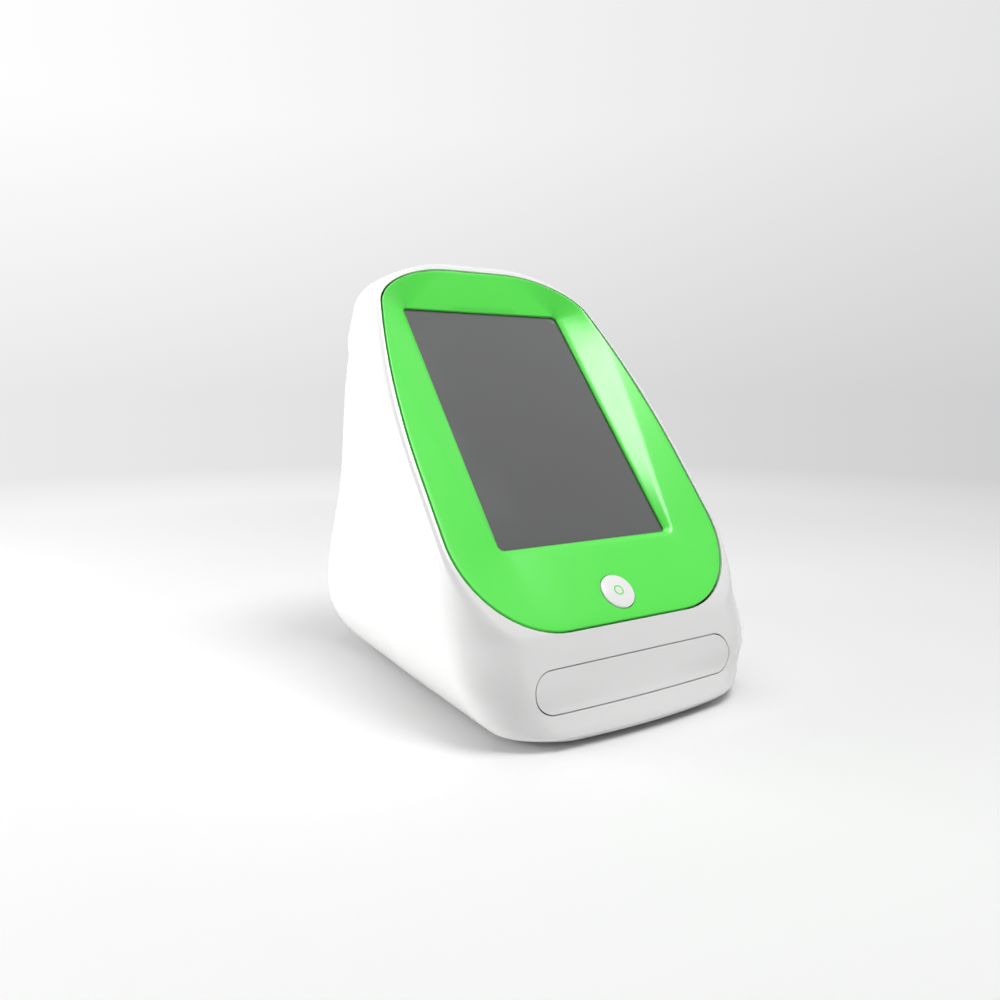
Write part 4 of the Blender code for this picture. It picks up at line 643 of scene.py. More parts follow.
class Finish(Nodes):
    """A material made of nodes that follow the place on the piece."""

    def __init__(self, name):
        self.material = bpy.data.materials.new(name)
        self.material.use_nodes = True
        super().__init__(self.material.node_tree)
        self.shader = self.tree.nodes["Principled BSDF"]
        self.place = self.node("ShaderNodeTexCoord").outputs["Object"]

    def axes(self):
        """The place on the piece as three values."""
        node = self.node("ShaderNodeSeparateXYZ", None, {"Vector": self.place})
        return [Value(self, node.outputs[index]) for index in range(3)]

    def stretched(self, scale):
        sockets = {"Vector": self.place, "Scale": scale}
        return self.node("ShaderNodeMapping", None, sockets).outputs["Vector"]

    def noise(self, scale, detail, stretch=(1.0, 1.0, 1.0)):
        sockets = {"Vector": self.stretched(stretch), "Scale": scale, "Detail": detail}
        return Value(self, self.node("ShaderNodeTexNoise", None, sockets).outputs["Fac"])

    def cells(self, scale, output="Distance"):
        sockets = {"Vector": self.place, "Scale": scale}
        return Value(self, self.node("ShaderNodeTexVoronoi", None, sockets).outputs[output])

    def remapped(self, value, low, high):
        """A value that goes from 0 at low to 1 at high and is held beyond, also where low is over high."""
        first = float(low > high)
        sockets = {0: value, 1: min(low, high), 2: max(low, high), 3: first, 4: 1.0 - first}
        return Value(self, self.node("ShaderNodeMapRange", None, sockets).outputs[0])

    def mixed(self, factor, first, second):
        """One colour turned into another by a factor."""
        sockets = {0: factor, 6: first, 7: second}
        return self.node("ShaderNodeMix", {"data_type": "RGBA"}, sockets).outputs[2]

    def bumped(self, height, distance, strength):
        sockets = {"Height": height, "Distance": distance, "Strength": strength}
        return self.node("ShaderNodeBump", None, sockets).outputs["Normal"]

    def shade(self, **sockets):
        """Sets the shader's sockets: underscores in names stand for spaces."""
        for name, value in sockets.items():
            self.feed(self.shader.inputs[name.replace("_", " ")], value)
        return self.material


def tinted(colour, factor):
    return tuple(min(channel * factor, 1.0) for channel in colour)


def gloss_plastic(name, colour, roughness, coat, coat_roughness):
    """Injection-moulded gloss plastic: faint flow clouds, orange peel and fine handling marks."""
    finish = Finish(name)
    clouds = finish.noise(9.0, 3.0)
    peel = finish.noise(520.0, 1.0)
    marks = finish.remapped(finish.noise(60.0, 5.0, (1.0, 1.0, 0.35)), 0.55, 0.8)
    base = finish.mixed(clouds, tinted(colour, 0.975), tinted(colour, 1.02))
    return finish.shade(
        Base_Color=base,
        Roughness=roughness + 0.05 * clouds + 0.07 * marks,
        Coat_Weight=coat,
        Coat_Roughness=coat_roughness,
        Normal=finish.bumped(peel, 0.00002, 0.35),
    )


def moulded_plastic(name, colour, grain, roughness):
    """Spark-eroded plastic: an even fine grain with a slight sheen on its peaks."""
    finish = Finish(name)
    pits = finish.cells(1500.0)
    clouds = finish.noise(35.0, 3.0)
    base = finish.mixed(clouds, tinted(colour, 0.88), tinted(colour, 1.1))
    return finish.shade(
        Base_Color=base,
        Roughness=roughness - 0.08 * pits + 0.08 * clouds,
        Normal=finish.bumped(pits, grain, 0.8),
    )


def brushed_metal(name, colour, stretch, roughness):
    """Sheet or turned metal with fine drawn lines and slight cloudy tarnish."""
    finish = Finish(name)
    lines = finish.noise(900.0, 2.0, stretch)
    clouds = finish.noise(30.0, 3.0)
    base = finish.mixed(clouds * 0.6 + lines * 0.4, tinted(colour, 0.82), tinted(colour, 1.12))
    return finish.shade(
        Base_Color=base,
        Metallic=1.0,
        Roughness=roughness + 0.12 * lines - 0.06 * clouds,
        Normal=finish.bumped(lines, 0.00001, 0.5),
    )


def zinc_sheet(name, colour):
    """Zinc-plated sheet with the soft patchwork of its crystals."""
    finish = Finish(name)
    spangle = finish.cells(210.0, "Color")
    clouds = finish.noise(24.0, 2.0)
    base = finish.mixed(spangle, tinted(colour, 0.84), tinted(colour, 1.08))
    return finish.shade(
        Base_Color=base,
        Metallic=1.0,
        Roughness=0.30 + 0.10 * spangle + 0.06 * clouds,
        Normal=finish.bumped(spangle, 0.000012, 0.4),
    )


def soft_rubber(name):
    """Dull rubber with a fine bloom of dust."""
    finish = Finish(name)
    grain = finish.noise(1400.0, 2.0)
    dust = finish.remapped(finish.noise(90.0, 4.0), 0.5, 0.85)
    base = finish.mixed(dust * 0.35, (0.022, 0.022, 0.023), (0.10, 0.10, 0.10))
    return finish.shade(
        Base_Color=base, Roughness=0.78 + 0.12 * grain, Normal=finish.bumped(grain, 0.00004, 0.7)
    )


def dark_glass(name, colour):
    """Cover glass over a screen that is off, with the faintest finger smears."""
    finish = Finish(name)
    smears = finish.remapped(finish.noise(38.0, 4.0, (1.0, 0.5, 1.0)), 0.45, 0.8)
    film = finish.noise(6.0, 1.0)
    base = finish.mixed(film, tinted(colour, 0.97), tinted(colour, 1.03))
    return finish.shade(
        Base_Color=base, Roughness=0.10 + 0.07 * smears, IOR=1.5, Coat_Weight=0.4, Coat_Roughness=0.04
    )


def circuit_board(name):
    """Solder mask over copper: tracks a little raised and lighter, on a fine square routing."""
    finish = Finish(name)
    lane = finish.cells(420.0, "Color")
    tracks = finish.remapped(finish.noise(150.0, 1.0, (1.0, 6.0, 1.0)), 0.52, 0.56)
    crossing = finish.remapped(finish.noise(150.0, 1.0, (6.0, 1.0, 1.0)), 0.54, 0.58)
    copper = (tracks + crossing) * 0.5 + 0.1 * lane
    base = finish.mixed(copper, BOARD, tinted(BOARD, 2.1))
    return finish.shade(
        Base_Color=base,
        Roughness=0.38 + 0.1 * lane,
        Coat_Weight=0.2,
        Normal=finish.bumped(copper, 0.00004, 0.6),
    )


def key_plastic(name, colours, sizes):
    """The white key with its thin ring, printed in the bezel's colour round the key's axis."""
    finish = Finish(name)
    sockets = {0: finish.place, 1: KEY_SEAT}
    away = finish.node("ShaderNodeVectorMath", {"operation": "SUBTRACT"}, sockets).outputs[0]
    sockets = {0: away, 1: KEY_AXIS.normalized()}
    across = finish.node("ShaderNodeVectorMath", {"operation": "CROSS_PRODUCT"}, sockets).outputs[0]
    length = finish.node("ShaderNodeVectorMath", {"operation": "LENGTH"}, {0: across})
    radius = Value(finish, length.outputs["Value"])
    ring = abs(radius - sizes.ring_radius).below(sizes.ring_line / 2, 0.00008)
    clouds = finish.noise(30.0, 2.0)
    shell = finish.mixed(clouds, tinted(colours.shell, 1.06), tinted(colours.shell, 1.10))
    return finish.shade(
        Base_Color=finish.mixed(ring, shell, tuple(colours.bezel)),
        Roughness=0.20 + 0.06 * clouds,
        Coat_Weight=0.3,
        Coat_Roughness=0.05,
        Normal=finish.bumped(ring, 0.00002, 0.5),
    )


def threaded_steel(name, colour, pitch):
    """Bright rod with a fine coarse-pitch thread running along X, with painted shade in the thread's grooves
    and a painted highlight on its crests.
    """
    finish = Finish(name)
    across, deep, up = finish.axes()
    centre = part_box("lead_screw")
    middle = (centre[0] + centre[1]) / 2
    rise = up - middle.z
    turn = rise.maths("ARCTAN2", rise, deep - middle.y)
    phase = across * (2 * pi / pitch) + turn
    wave = phase.maths("SINE", phase)
    lines = finish.noise(600.0, 2.0)
    # Painted shade and highlight: the colour darkens in the thread's grooves and lightens on its crests,
    # following the thread's relief
    base = finish.mixed(wave * 0.5 + 0.5, tinted(colour, 0.55), tinted(colour, 1.15))
    return finish.shade(
        Base_Color=base,
        Metallic=1.0,
        Roughness=0.22 + 0.08 * lines,
        Normal=finish.bumped(wave, 0.0003, 0.8),
    )


def flat_cable(name, pitch):
    """White film cable with its row of conductors showing through."""
    finish = Finish(name)
    phase = finish.axes()[0] * (2 * pi / pitch)
    stripes = phase.maths("SINE", phase)
    wear = finish.noise(60.0, 3.0)
    base = finish.mixed(finish.remapped(stripes, 0.1, 0.5), (0.72, 0.73, 0.72), (0.48, 0.50, 0.52))
    return finish.shade(
        Base_Color=base, Roughness=0.34 + 0.1 * wear, Normal=finish.bumped(stripes, 0.00003, 0.5)
    )


def finish_named(context, name):
    """A finish by its name, made the first time that a piece asks for it."""
    made = bpy.data.materials.get(name)
    if made is not None:
        return made
    colours = context.scene.analyser_colours
    sizes = context.scene.analyser_sizes
    light_grey = (0.66, 0.66, 0.65)
    dull_grey = (0.60, 0.61, 0.62)
    makers = {
        "shell_gloss_white": (gloss_plastic, tuple(colours.shell), 0.20, 0.25, 0.05),
        "bezel_gloss_green": (gloss_plastic, tuple(colours.bezel), 0.30, 0.5, 0.24),
        "key_gloss_white": (key_plastic, colours, sizes),
        "screen_dark_glass": (dark_glass, tuple(colours.glass)),
        "lens_glass": (dark_glass, (0.03, 0.03, 0.05)),
        "base_grained_grey": (moulded_plastic, GREY, 0.00009, 0.55),
        "tray_natural_plastic": (moulded_plastic, NATURAL, 0.00003, 0.42),
        "fitting_black_plastic": (moulded_plastic, BLACK, 0.00004, 0.45),
        "support_grey_plastic": (moulded_plastic, GREY, 0.00005, 0.5),
        "mark_white_print": (moulded_plastic, (0.8, 0.8, 0.8), 0.00001, 0.4),
        "chassis_zinc_sheet": (zinc_sheet, STEEL),
        "rail_drawn_steel": (brushed_metal, STEEL, (1.0, 0.02, 1.0), 0.32),
        "screw_bright_steel": (brushed_metal, STEEL, (0.3, 0.3, 0.3), 0.26),
        "socket_plated_steel": (brushed_metal, light_grey, (0.05, 1.0, 1.0), 0.24),
        "display_aluminium": (brushed_metal, dull_grey, (0.03, 1.0, 1.0), 0.36),
        "contact_gold": (brushed_metal, GOLD, (1.0, 0.1, 1.0), 0.22),
        "standoff_brass": (brushed_metal, BRASS, (1.0, 1.0, 0.1), 0.28),
        "thread_bright_steel": (threaded_steel, STEEL, 0.003),
        "foot_rubber": (soft_rubber,),
        "board_solder_mask": (circuit_board,),
        "cable_white_film": (flat_cable, 0.001),
    }
    maker, *values = makers[name]
    return maker(name, *values)


class ANALYSER_OT_stage(Operator):
    """Add the camera, the soft studio light and the pale floor"""

    bl_idname = "analyser.stage"
    bl_label = "Camera, Light and Floor"

    def execute(self, context):
        scene = context.scene
        scene.view_settings.view_transform = "Standard"
        bpy.ops.object.camera_add(location=CAMERA_PLACE, rotation=CAMERA_TURN)
        camera = context.object
        camera.name = "photo_camera"
        camera.data.sensor_width = CAMERA_SENSOR
        camera.data.lens = CAMERA_LENS
        camera.data.clip_start = 0.01
        scene.camera = camera
        lamps = (
            ("left_softbox", (-0.85, 0.50, 0.20), (0.6, 0.36), 7.0),
            ("wall_softbox", (0.25, -0.46, 1.45), (0.62, 0.62), 13.0),
            ("top_softbox", (-0.05, 0.30, 1.50), (1.0, 1.0), 7.0),
            ("front_fill", (0.90, -1.20, 0.25), (1.2, 0.4), 1.0),
        )
        target = Vector((0.0, 0.0, 0.10))
        for name, spot, size, power in lamps:
            aim = (target - Vector(spot)).to_track_quat("-Z", "Y").to_euler()
            bpy.ops.object.light_add(type="AREA", location=spot, rotation=aim)
            lamp = context.object
            lamp.name = name
            lamp.data.shape = "RECTANGLE"
            lamp.data.size = size[0]
            lamp.data.size_y = size[1]
            lamp.data.energy = power
        self.light_world(scene)
        self.lay_floor(context)
        return {"FINISHED"}

    def light_world(self, scene):
        """A dim even light for the object and a pale background for what looks past it."""
        world = bpy.data.worlds.new("studio")
        scene.world = world
        world.use_nodes = True
        studio = Nodes(world.node_tree)
        even = studio.tree.nodes["Background"]
        studio.feed(even.inputs["Color"], (1.0, 1.0, 1.0))
        studio.feed(even.inputs["Strength"], EVEN_LIGHT)
        ray = studio.node("ShaderNodeLightPath").outputs
        seen = Value(studio, ray["Is Camera Ray"])
        for name in ("Is Glossy Ray", "Is Transmission Ray"):
            seen = seen.maths("MAXIMUM", seen, ray[name])
        place = studio.node("ShaderNodeTexCoord").outputs["Generated"]
        up = studio.node("ShaderNodeSeparateXYZ", None, {0: place}).outputs["Z"]
        sockets = {"Value": up, "From Max": HEAD_HEIGHT, "To Min": HORIZON_TONE, "To Max": HEAD_TONE}
        tone = studio.node("ShaderNodeMapRange", None, sockets).outputs[0]
        sockets = {0: place, 1: BACKDROP_SIDE}
        side = studio.node("ShaderNodeVectorMath", {"operation": "DOT_PRODUCT"}, sockets).outputs["Value"]
        lean = 1.0 - BACKDROP_LEAN * Value(studio, side)
        pale = studio.node("ShaderNodeBackground", None, {"Color": tone, "Strength": lean})
        sockets = {0: seen, 1: even.outputs[0], 2: pale.outputs[0]}
        mix = studio.node("ShaderNodeMixShader", None, sockets)
        studio.feed(studio.tree.nodes["World Output"].inputs["Surface"], mix.outputs[0])

    def lay_floor(self, context):
        """A wide round floor that turns into the background far from the object."""
        bpy.ops.object.select_all(action="DESELECT")
        bpy.ops.mesh.primitive_circle_add(vertices=96, radius=0.5, fill_type="NGON")
        floor = context.object
        floor.name = "studio_floor"
        bpy.ops.object.mode_set(mode="EDIT")
        bpy.ops.mesh.select_all(action="SELECT")
        bpy.ops.mesh.inset(thickness=0.1)
        bpy.ops.mesh.select_all(action="SELECT")
        bpy.ops.transform.resize(value=(16.0, 16.0, 1.0))
        bpy.ops.object.mode_set(mode="OBJECT")
        finish = Finish("studio_floor_paint")
        across, deep = finish.axes()[:2]
        far = (across * across + deep * deep) ** 0.5
        grain = finish.noise(3.0, 2.0)
        colour = tuple(context.scene.analyser_colours.floor)
        paint = finish.mixed(grain, tinted(colour, 0.99), tinted(colour, 1.01))
        finish.shade(Base_Color=paint, Roughness=0.75 + 0.1 * grain, Specular_IOR_Level=0.2)
        away_across = across - CAMERA_PLACE.x
        away_deep = deep - CAMERA_PLACE.y
        away = (away_across * away_across + away_deep * away_deep) ** 0.5
        side = (away_across * BACKDROP_SIDE.x + away_deep * BACKDROP_SIDE.y) / away
        near = finish.remapped(far, 1.3, 0.3)
        tone = finish.mixed(near, (HORIZON_TONE,) * 3, (FLOOR_TONE,) * 3)
        sockets = {"Color": tone, "Strength": 1.0 - BACKDROP_LEAN * side}
        glow = finish.node("ShaderNodeEmission", None, sockets)
        fade = finish.remapped(far, 0.25, 0.8)
        sockets = {0: fade, 1: finish.shader.outputs[0], 2: glow.outputs[0]}
        mix = finish.node("ShaderNodeMixShader", None, sockets)
        finish.feed(finish.tree.nodes["Material Output"].inputs["Surface"], mix.outputs[0])
        floor.data.materials.append(finish.material)


class ANALYSER_OT_casing(Operator):
    """Add the casing's shell, its rear cover and the drawer's face, which are cut from one form"""

    bl_idname = "analyser.casing"
    bl_label = "Casing"

    def execute(self, context):
        sizes = context.scene.analyser_sizes
        white = finish_named(context, "shell_gloss_white")
        form = wrapped(casing_rings(0.0, sizes))

        face = copied(form)
        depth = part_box("drawer_front")[1].y
        outline = slot_outline(DRAWER_WIDTH / 2, DRAWER_TALL / 2, DRAWER_TALL / 2, 12)
        ahead = CASING_FRONT - OVERCUT
        carved(face, through(outline, (ahead, depth), DRAWER_HEIGHT), "INTERSECT")
        dressed(face, "drawer_face", "drawer", white, ["drawer_front"])

        bay_form = copied(form)
        carved(form, wrapped(casing_rings(sizes.shell_wall, sizes)))
        cover = copied(form)
        carved(form, self.bezel_opening())
        gap = sizes.drawer_gap
        outline = slot_outline(DRAWER_WIDTH / 2 + gap, DRAWER_TALL / 2 + gap, DRAWER_TALL / 2 + gap, 12)
        reach = front_at(DRAWER_HEIGHT + DRAWER_TALL / 2) + 3 * sizes.shell_wall
        carved(form, through(outline, (ahead, reach), DRAWER_HEIGHT))
        carved(form, self.rear_window(0.0))
        form = joined([form] + self.inner_posts(sizes))
        dressed(form, "casing_shell", "casing", white, ["main_housing"])

        carved(cover, self.rear_window(sizes.cover_gap), "INTERSECT")
        self.finish_cover(cover, bay_form, sizes)
        dressed(cover, "rear_panel", "casing", white, ["rear_cover"])
        return {"FINISHED"}

    def bezel_opening(self):
        """The body that cuts the bezel's seat out of the shell, square to the rim's plane."""
        slope = atan2(RIM_STAND_HIGH - RIM_STAND_LOW, RIM_TOP - RIM_BOTTOM)

        def carried(point, level):
            out = OVERCUT if level else -SEAT_DEPTH
            stand = rim_stand(point[1]) + out * cos(slope)
            return on_screen(point[0], point[1] - out * sin(slope), stand)

        return prism(rim_outline(0.0), carried)

    def rear_window(self, gap):
        """The rear cover's opening, with round corners, drawn in by a gap."""
        half = (COVER_HIGH - COVER_LOW) / 2 - gap
        middle = (COVER_HIGH + COVER_LOW) / 2
        outline = slot_outline(COVER_HALF_WIDTH - gap, half, COVER_CORNER - gap)
        return through(outline, (COVER_FRONT, CASING_BACK + 0.003), middle)

    def inner_posts(self, sizes):
        """The four screw posts inside the casing."""
        posts = []
        for number in range(1, 5):
            low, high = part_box(f"base_screw_{number}")
            middle = (low + high) / 2
            side = 1 if middle.x > 0 else -1
            inner = side * POST_INNER
            outer = side * (half_width_at(middle.y, POST_LOW, 0.0, sizes) - sizes.shell_wall / 2)
            start = (min(inner, outer), middle.y - POST_HALF_DEPTH, POST_LOW)
            end = (max(inner, outer), middle.y + POST_HALF_DEPTH, POST_HIGH)
            posts.append(block(start, end, 0.0006))
        return posts

    def finish_cover(self, cover, bay_form, sizes):
        """The connector bay's walls and hollow, the vents and the screw seats."""
        floor = CASING_BACK - BAY_DEPTH - BAY_FLOOR
        middle = (BAY_LOW + BAY_HIGH) / 2
        half = (BAY_HIGH - BAY_LOW) / 2
        outline = slot_outline(BAY_HALF_WIDTH + BAY_WALL, half + BAY_WALL, 0.0035)
        box = through(outline, (floor, CASING_BACK), middle)
        carved(cover, carved(bay_form, box, "INTERSECT"), "UNION")
        outline = slot_outline(BAY_HALF_WIDTH, half, 0.0018)
        carved(cover, through(outline, (floor - OVERCUT, CASING_BACK + OVERCUT), middle))
        vents = []
        outline = slot_outline(sizes.vent_width / 2, VENT_HALF_TALL, sizes.vent_width / 2)
        for index in range(VENT_COUNT):
            centre = (index - (VENT_COUNT - 1) / 2) * VENT_STEP
            vents.append(through(outline, (COVER_FRONT, CASING_BACK + OVERCUT), VENT_HEIGHT, centre))
        carved(cover, joined(vents))
        for name in ("cover_screw_left", "cover_screw_right"):
            low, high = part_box(name)
            middle = (low + high) / 2
            seat = Vector((middle.x, high.y + 0.0035, middle.z))
            carved(cover, turned(((0.0031, 0.0), (0.0031, 0.0053)), seat, (0, -1, 0), 32))
            carved(cover, turned(((0.0018, 0.0), (0.0018, 0.012)), seat, (0, -1, 0), 24))


class ANALYSER_OT_bezel(Operator):
    """Add the green dished bezel round the screen"""

    bl_idname = "analyser.bezel"
    bl_label = "Bezel"

    def execute(self, context):
        sizes = context.scene.analyser_sizes
        rim = rim_outline(-sizes.bezel_gap)
        window = window_outline(0.0)
        rows = []
        for start, end in zip(rim, window):
            rows.append(self.profile(start, end, sizes))
        rings = [list(ring) for ring in zip(*rows)]
        bezel = wrapped(rings, loop=True)
        hole = ((KEY_RADIUS + 0.0004, -0.006), (KEY_RADIUS + 0.0004, 0.004))
        carved(bezel, turned(hole, KEY_SEAT, KEY_AXIS, 72))
        green = finish_named(context, "bezel_gloss_green")
        dressed(bezel, "bezel_frame", "casing", green, ["front_bezel"])
        return {"FINISHED"}

    def profile(self, rim, window, sizes):
        """One loop through the bezel's thickness: skirt, edge, face, knee, wall, lip and back."""
        stand = rim_stand(rim[1])
        inward = Vector((window[0] - rim[0], window[1] - rim[1]))
        length = inward.length
        inward.normalize()
        radius = sizes.bezel_edge
        climb = (window[1] + WINDOW_TALL / 2) / WINDOW_TALL
        wall = WALL_LOW_SHARE + climb * (WALL_HIGH_SHARE - WALL_LOW_SHARE)
        knee = max(1 - wall, KNEE_LEAST_SHARE)
        fall = KNEE_FALL_SHARE * knee
        soft = min(sizes.knee_softness / length, knee * 0.8, (1 - knee) * 0.8)

        def straight(t):
            if t < knee:
                return fall * t / knee
            return fall + (1 - fall) * (t - knee) / (1 - knee)

        def face(t):
            share = straight(t)
            if abs(t - knee) < soft:
                bend = (1 - fall) / (1 - knee) - fall / knee
                share += bend * (soft - abs(t - knee)) ** 2 / (4 * soft)
            return stand + (LIP - stand) * share

        def at(distance, out):
            return on_screen(rim[0] + inward.x * distance, rim[1] + inward.y * distance, out)

        points = [at(0.0, stand - 0.006), at(0.0, stand - 0.003), at(0.0, stand - 1.6 * radius)]
        for step in range(5):
            angle = pi / 2 * step / 5
            distance = radius * (1 - cos(angle))
            points.append(at(distance, face(distance / length) - radius * (1 - sin(angle))))
        first = radius / length
        outer = max(knee - soft, first + 0.02)
        inner = max(knee + soft, outer + 0.01)
        places = [first + (outer - first) * step / 8 for step in range(8)]
        places += [outer + (inner - outer) * step / 8 for step in range(8)]
        places += [inner + (1 - inner) * step / 6 for step in range(6)]
        points += [at(t * length, face(t)) for t in places]
        points.append(at(length, LIP - 0.0001))
        points.append(at(length + 0.00015, LIP - 0.0003))
        points.append(at(length + 0.0002, LIP - 0.0006))
        points.append(at(length + 0.0002, GLASS_GAP))
        for t in (0.92, 0.75, 0.5, 0.25, 0.1):
            points.append(at(t * length, max(face(t) - sizes.bezel_wall, GLASS_GAP)))
        points.append(at(sizes.bezel_wall, stand - 0.006))
        return points


class ANALYSER_OT_screen(Operator):
    """Add the dark touch glass behind the bezel"""

    bl_idname = "analyser.screen"
    bl_label = "Screen Glass"

    def execute(self, context):
        levels = (-GLASS_THICKNESS, -GLASS_THICKNESS + 0.0003, -0.0003, 0.0)
        insets = (-0.0003, 0.0, 0.0, -0.0003)
        rings = []
        for out, inset in zip(levels, insets):
            outline = window_outline(GLASS_LAP + inset, 4, 8, 4)
            rings.append([on_screen(side, up, out) for side, up in outline])
        glass = wrapped(rings)
        finish = finish_named(context, "screen_dark_glass")
        dressed(glass, "screen_glass", "casing", finish, ["touch_glass"])
        return {"FINISHED"}


class ANALYSER_OT_key(Operator):
    """Add the round white key under the screen"""

    bl_idname = "analyser.key"
    bl_label = "Home Key"

    def execute(self, context):
        sizes = context.scene.analyser_sizes
        crown = sizes.key_crown
        profile = [(0.0, -0.00925), (0.0022, -0.00925), (0.0025, -0.0089), (0.0025, -0.0034)]
        profile += [(0.0031, -0.0032), (KEY_RADIUS - 0.0003, -0.0032), (KEY_RADIUS, -0.0029)]
        radius = 0.0007
        for step in range(6):
            angle = pi / 2 * step / 5
            profile.append((KEY_RADIUS - radius * (1 - cos(angle)), -radius * (1 - sin(angle))))
        for step in range(1, 13):
            reach = (KEY_RADIUS - radius) * (1 - step / 12)
            profile.append((reach, crown * (1 - (reach / (KEY_RADIUS - radius)) ** 2)))
        key = turned(profile, KEY_SEAT, KEY_AXIS, 96)
        finish = finish_named(context, "key_gloss_white")
        dressed(key, "key_cap", "key", finish, ["home_key"])
        return {"FINISHED"}


class ANALYSER_OT_drawer(Operator):
    """Add the drawer's tray with its four cassette bays"""

    bl_idname = "analyser.drawer"
    bl_label = "Cassette Tray"

    def execute(self, context):
        low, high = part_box("drawer_tray")
        tray = block(low, high, 0.0008)
        middle = (low.y + high.y) / 2
        outline = slot_outline(CASSETTE_HALF_WIDTH, CASSETTE_HALF_LENGTH, 0.002)
        profile = ((NOTCH_RADIUS, -0.0005), (NOTCH_RADIUS, 0.0062))
        bays = []
        notches = []
        for index in range(CASSETTE_COUNT):
            centre = (index - (CASSETTE_COUNT - 1) / 2) * CASSETTE_STEP
            bays.append(self.well(outline, centre, middle, (low.z + TRAY_FLOOR, high.z + OVERCUT)))
            notches.append(turned(profile, (centre, high.y - 0.0085, high.z - 0.0055), (0, 0, 1), 40))
        carved(tray, joined(bays))
        carved(tray, joined(notches))
        finish = finish_named(context, "tray_natural_plastic")
        dressed(tray, "cassette_tray", "drawer", finish, ["drawer_tray"])
        return {"FINISHED"}

    def well(self, outline, centre, middle, levels):
        return prism(outline, lambda p, level: Vector((centre + p[0], middle + p[1], levels[level])))


class ANALYSER_OT_sockets(Operator):
    """Add the contacts in the rear sockets, the power pin and the rocker with its marks"""

    bl_idname = "analyser.sockets"
    bl_label = "Rear Sockets"

    def execute(self, context):
        black = finish_named(context, "fitting_black_plastic")
        gold = finish_named(context, "contact_gold")
        for number in (1, 2):
            low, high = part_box(f"usb_socket_{number}")
            middle = (low + high) / 2
            start = (middle.x - 0.0055, low.y + 0.0012, middle.z + 0.0002)
            end = (middle.x + 0.0055, high.y - 0.0016, middle.z + 0.0018)
            tongue = block(start, end, 0.0003)
            dressed(tongue, f"usb_tongue_{number}", "casing", black)
            strips = []
            for index in range(4):
                centre = middle.x + (index - 1.5) * 0.0024
                start = (centre - 0.0005, low.y + 0.0014, middle.z - 0.00005)
                end = (centre + 0.0005, high.y - 0.0022, middle.z + 0.00025)
                strips.append(block(start, end, 0.0001, 1))
            dressed(joined(strips), f"usb_contacts_{number}", "casing", gold)
        self.network(black, gold)
        self.power_pin(context)
        self.rocker(context, black)
        return {"FINISHED"}

    def network(self, black, gold):
        low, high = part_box("network_socket")
        middle = (low + high) / 2
        start = (low.x + 0.0012, low.y + 0.0012, high.z - 0.0036)
        end = (high.x - 0.0012, high.y - 0.0008, high.z - 0.0012)
        insert = block(start, end, 0.0003)
        cheeks = [insert]
        for side in (-1, 1):
            edge = middle.x + side * 0.0062
            start = (edge - 0.0007, low.y + 0.0012, low.z + 0.0012)
            end = (edge + 0.0007, high.y - 0.0008, low.z + 0.0046)
            cheeks.append(block(start, end, 0.0002, 1))
        dressed(joined(cheeks), "network_insert", "casing", black)
        wires = []
        for index in range(8):
            centre = middle.x + (index - 3.5) * 0.00102
            start = Vector((centre, low.y + 0.0016, high.z - 0.0062))
            along = Vector((0.0, 0.0088, 0.0024))
            wires.append(turned(((0.00018, 0.0), (0.00018, along.length)), start, along, 8))
        dressed(joined(wires), "network_contacts", "casing", gold)

    def power_pin(self, context):
        low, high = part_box("power_inlet")
        middle = (low + high) / 2
        profile = ((0.0, 0.0), (0.0009, 0.0), (0.0009, 0.0088), (0.0006, 0.0095), (0.0, 0.0097))
        pin = turned(profile, (middle.x, low.y + 0.0013, middle.z), (0, 1, 0), 24)
        steel = finish_named(context, "screw_bright_steel")
        dressed(pin, "power_pin", "casing", steel)

    def rocker(self, context, black):
        """A rocker with a hollowed face, tipped to one side, with a bar and a ring on its ends."""
        wide = ROCKER_HALF_WIDTH
        tall = ROCKER_HALF_TALL
        tilt = Matrix.Translation(ROCKER_PIVOT) @ Matrix.Rotation(ROCKER_TILT, 4, "X")
        outline = []
        for step in range(13):
            up = -tall + 2 * tall * step / 12
            outline.append((0.0015 - 0.0006 * (1 - (up / tall) ** 2), up))
        for step in range(13):
            up = tall - 2 * tall * step / 12
            outline.append((-0.0015 - 0.0012 * (1 - abs(up / tall)), up))
        rings = []
        ends = ((-wide, 0.0003), (-wide + 0.0003, 0.0), (wide - 0.0003, 0.0), (wide, 0.0003))
        for across, inset in ends:
            thin = 1 - inset / 0.0015
            short = 1 - inset / tall
            rings.append([tilt @ Vector((across, out * thin, up * short)) for out, up in outline])
        dressed(wrapped(rings), "power_rocker_cap", "rocker", black, ["power_rocker"])
        white = finish_named(context, "mark_white_print")
        bar = block((-0.0003, 0.00125, 0.0031), (0.0003, 0.00142, 0.0057), 0.00005, 1)
        bar.data.transform(tilt)
        profile = ((0.0013, 0.0), (0.0013, 0.0001), (0.0009, 0.0001), (0.0009, 0.0))
        ring = []
        for step in range(40):
            angle = 2 * pi * step / 40
            ring.append(Vector((cos(angle), 0.0, sin(angle))))
        rings = []
        for radius, rise in profile:
            rings.append([tilt @ (radius * p + Vector((0.0, 0.00128 + rise, -0.0046))) for p in ring])
        marks = joined([bar, wrapped(rings, loop=True)])
        dressed(marks, "rocker_marks", "rocker", white)


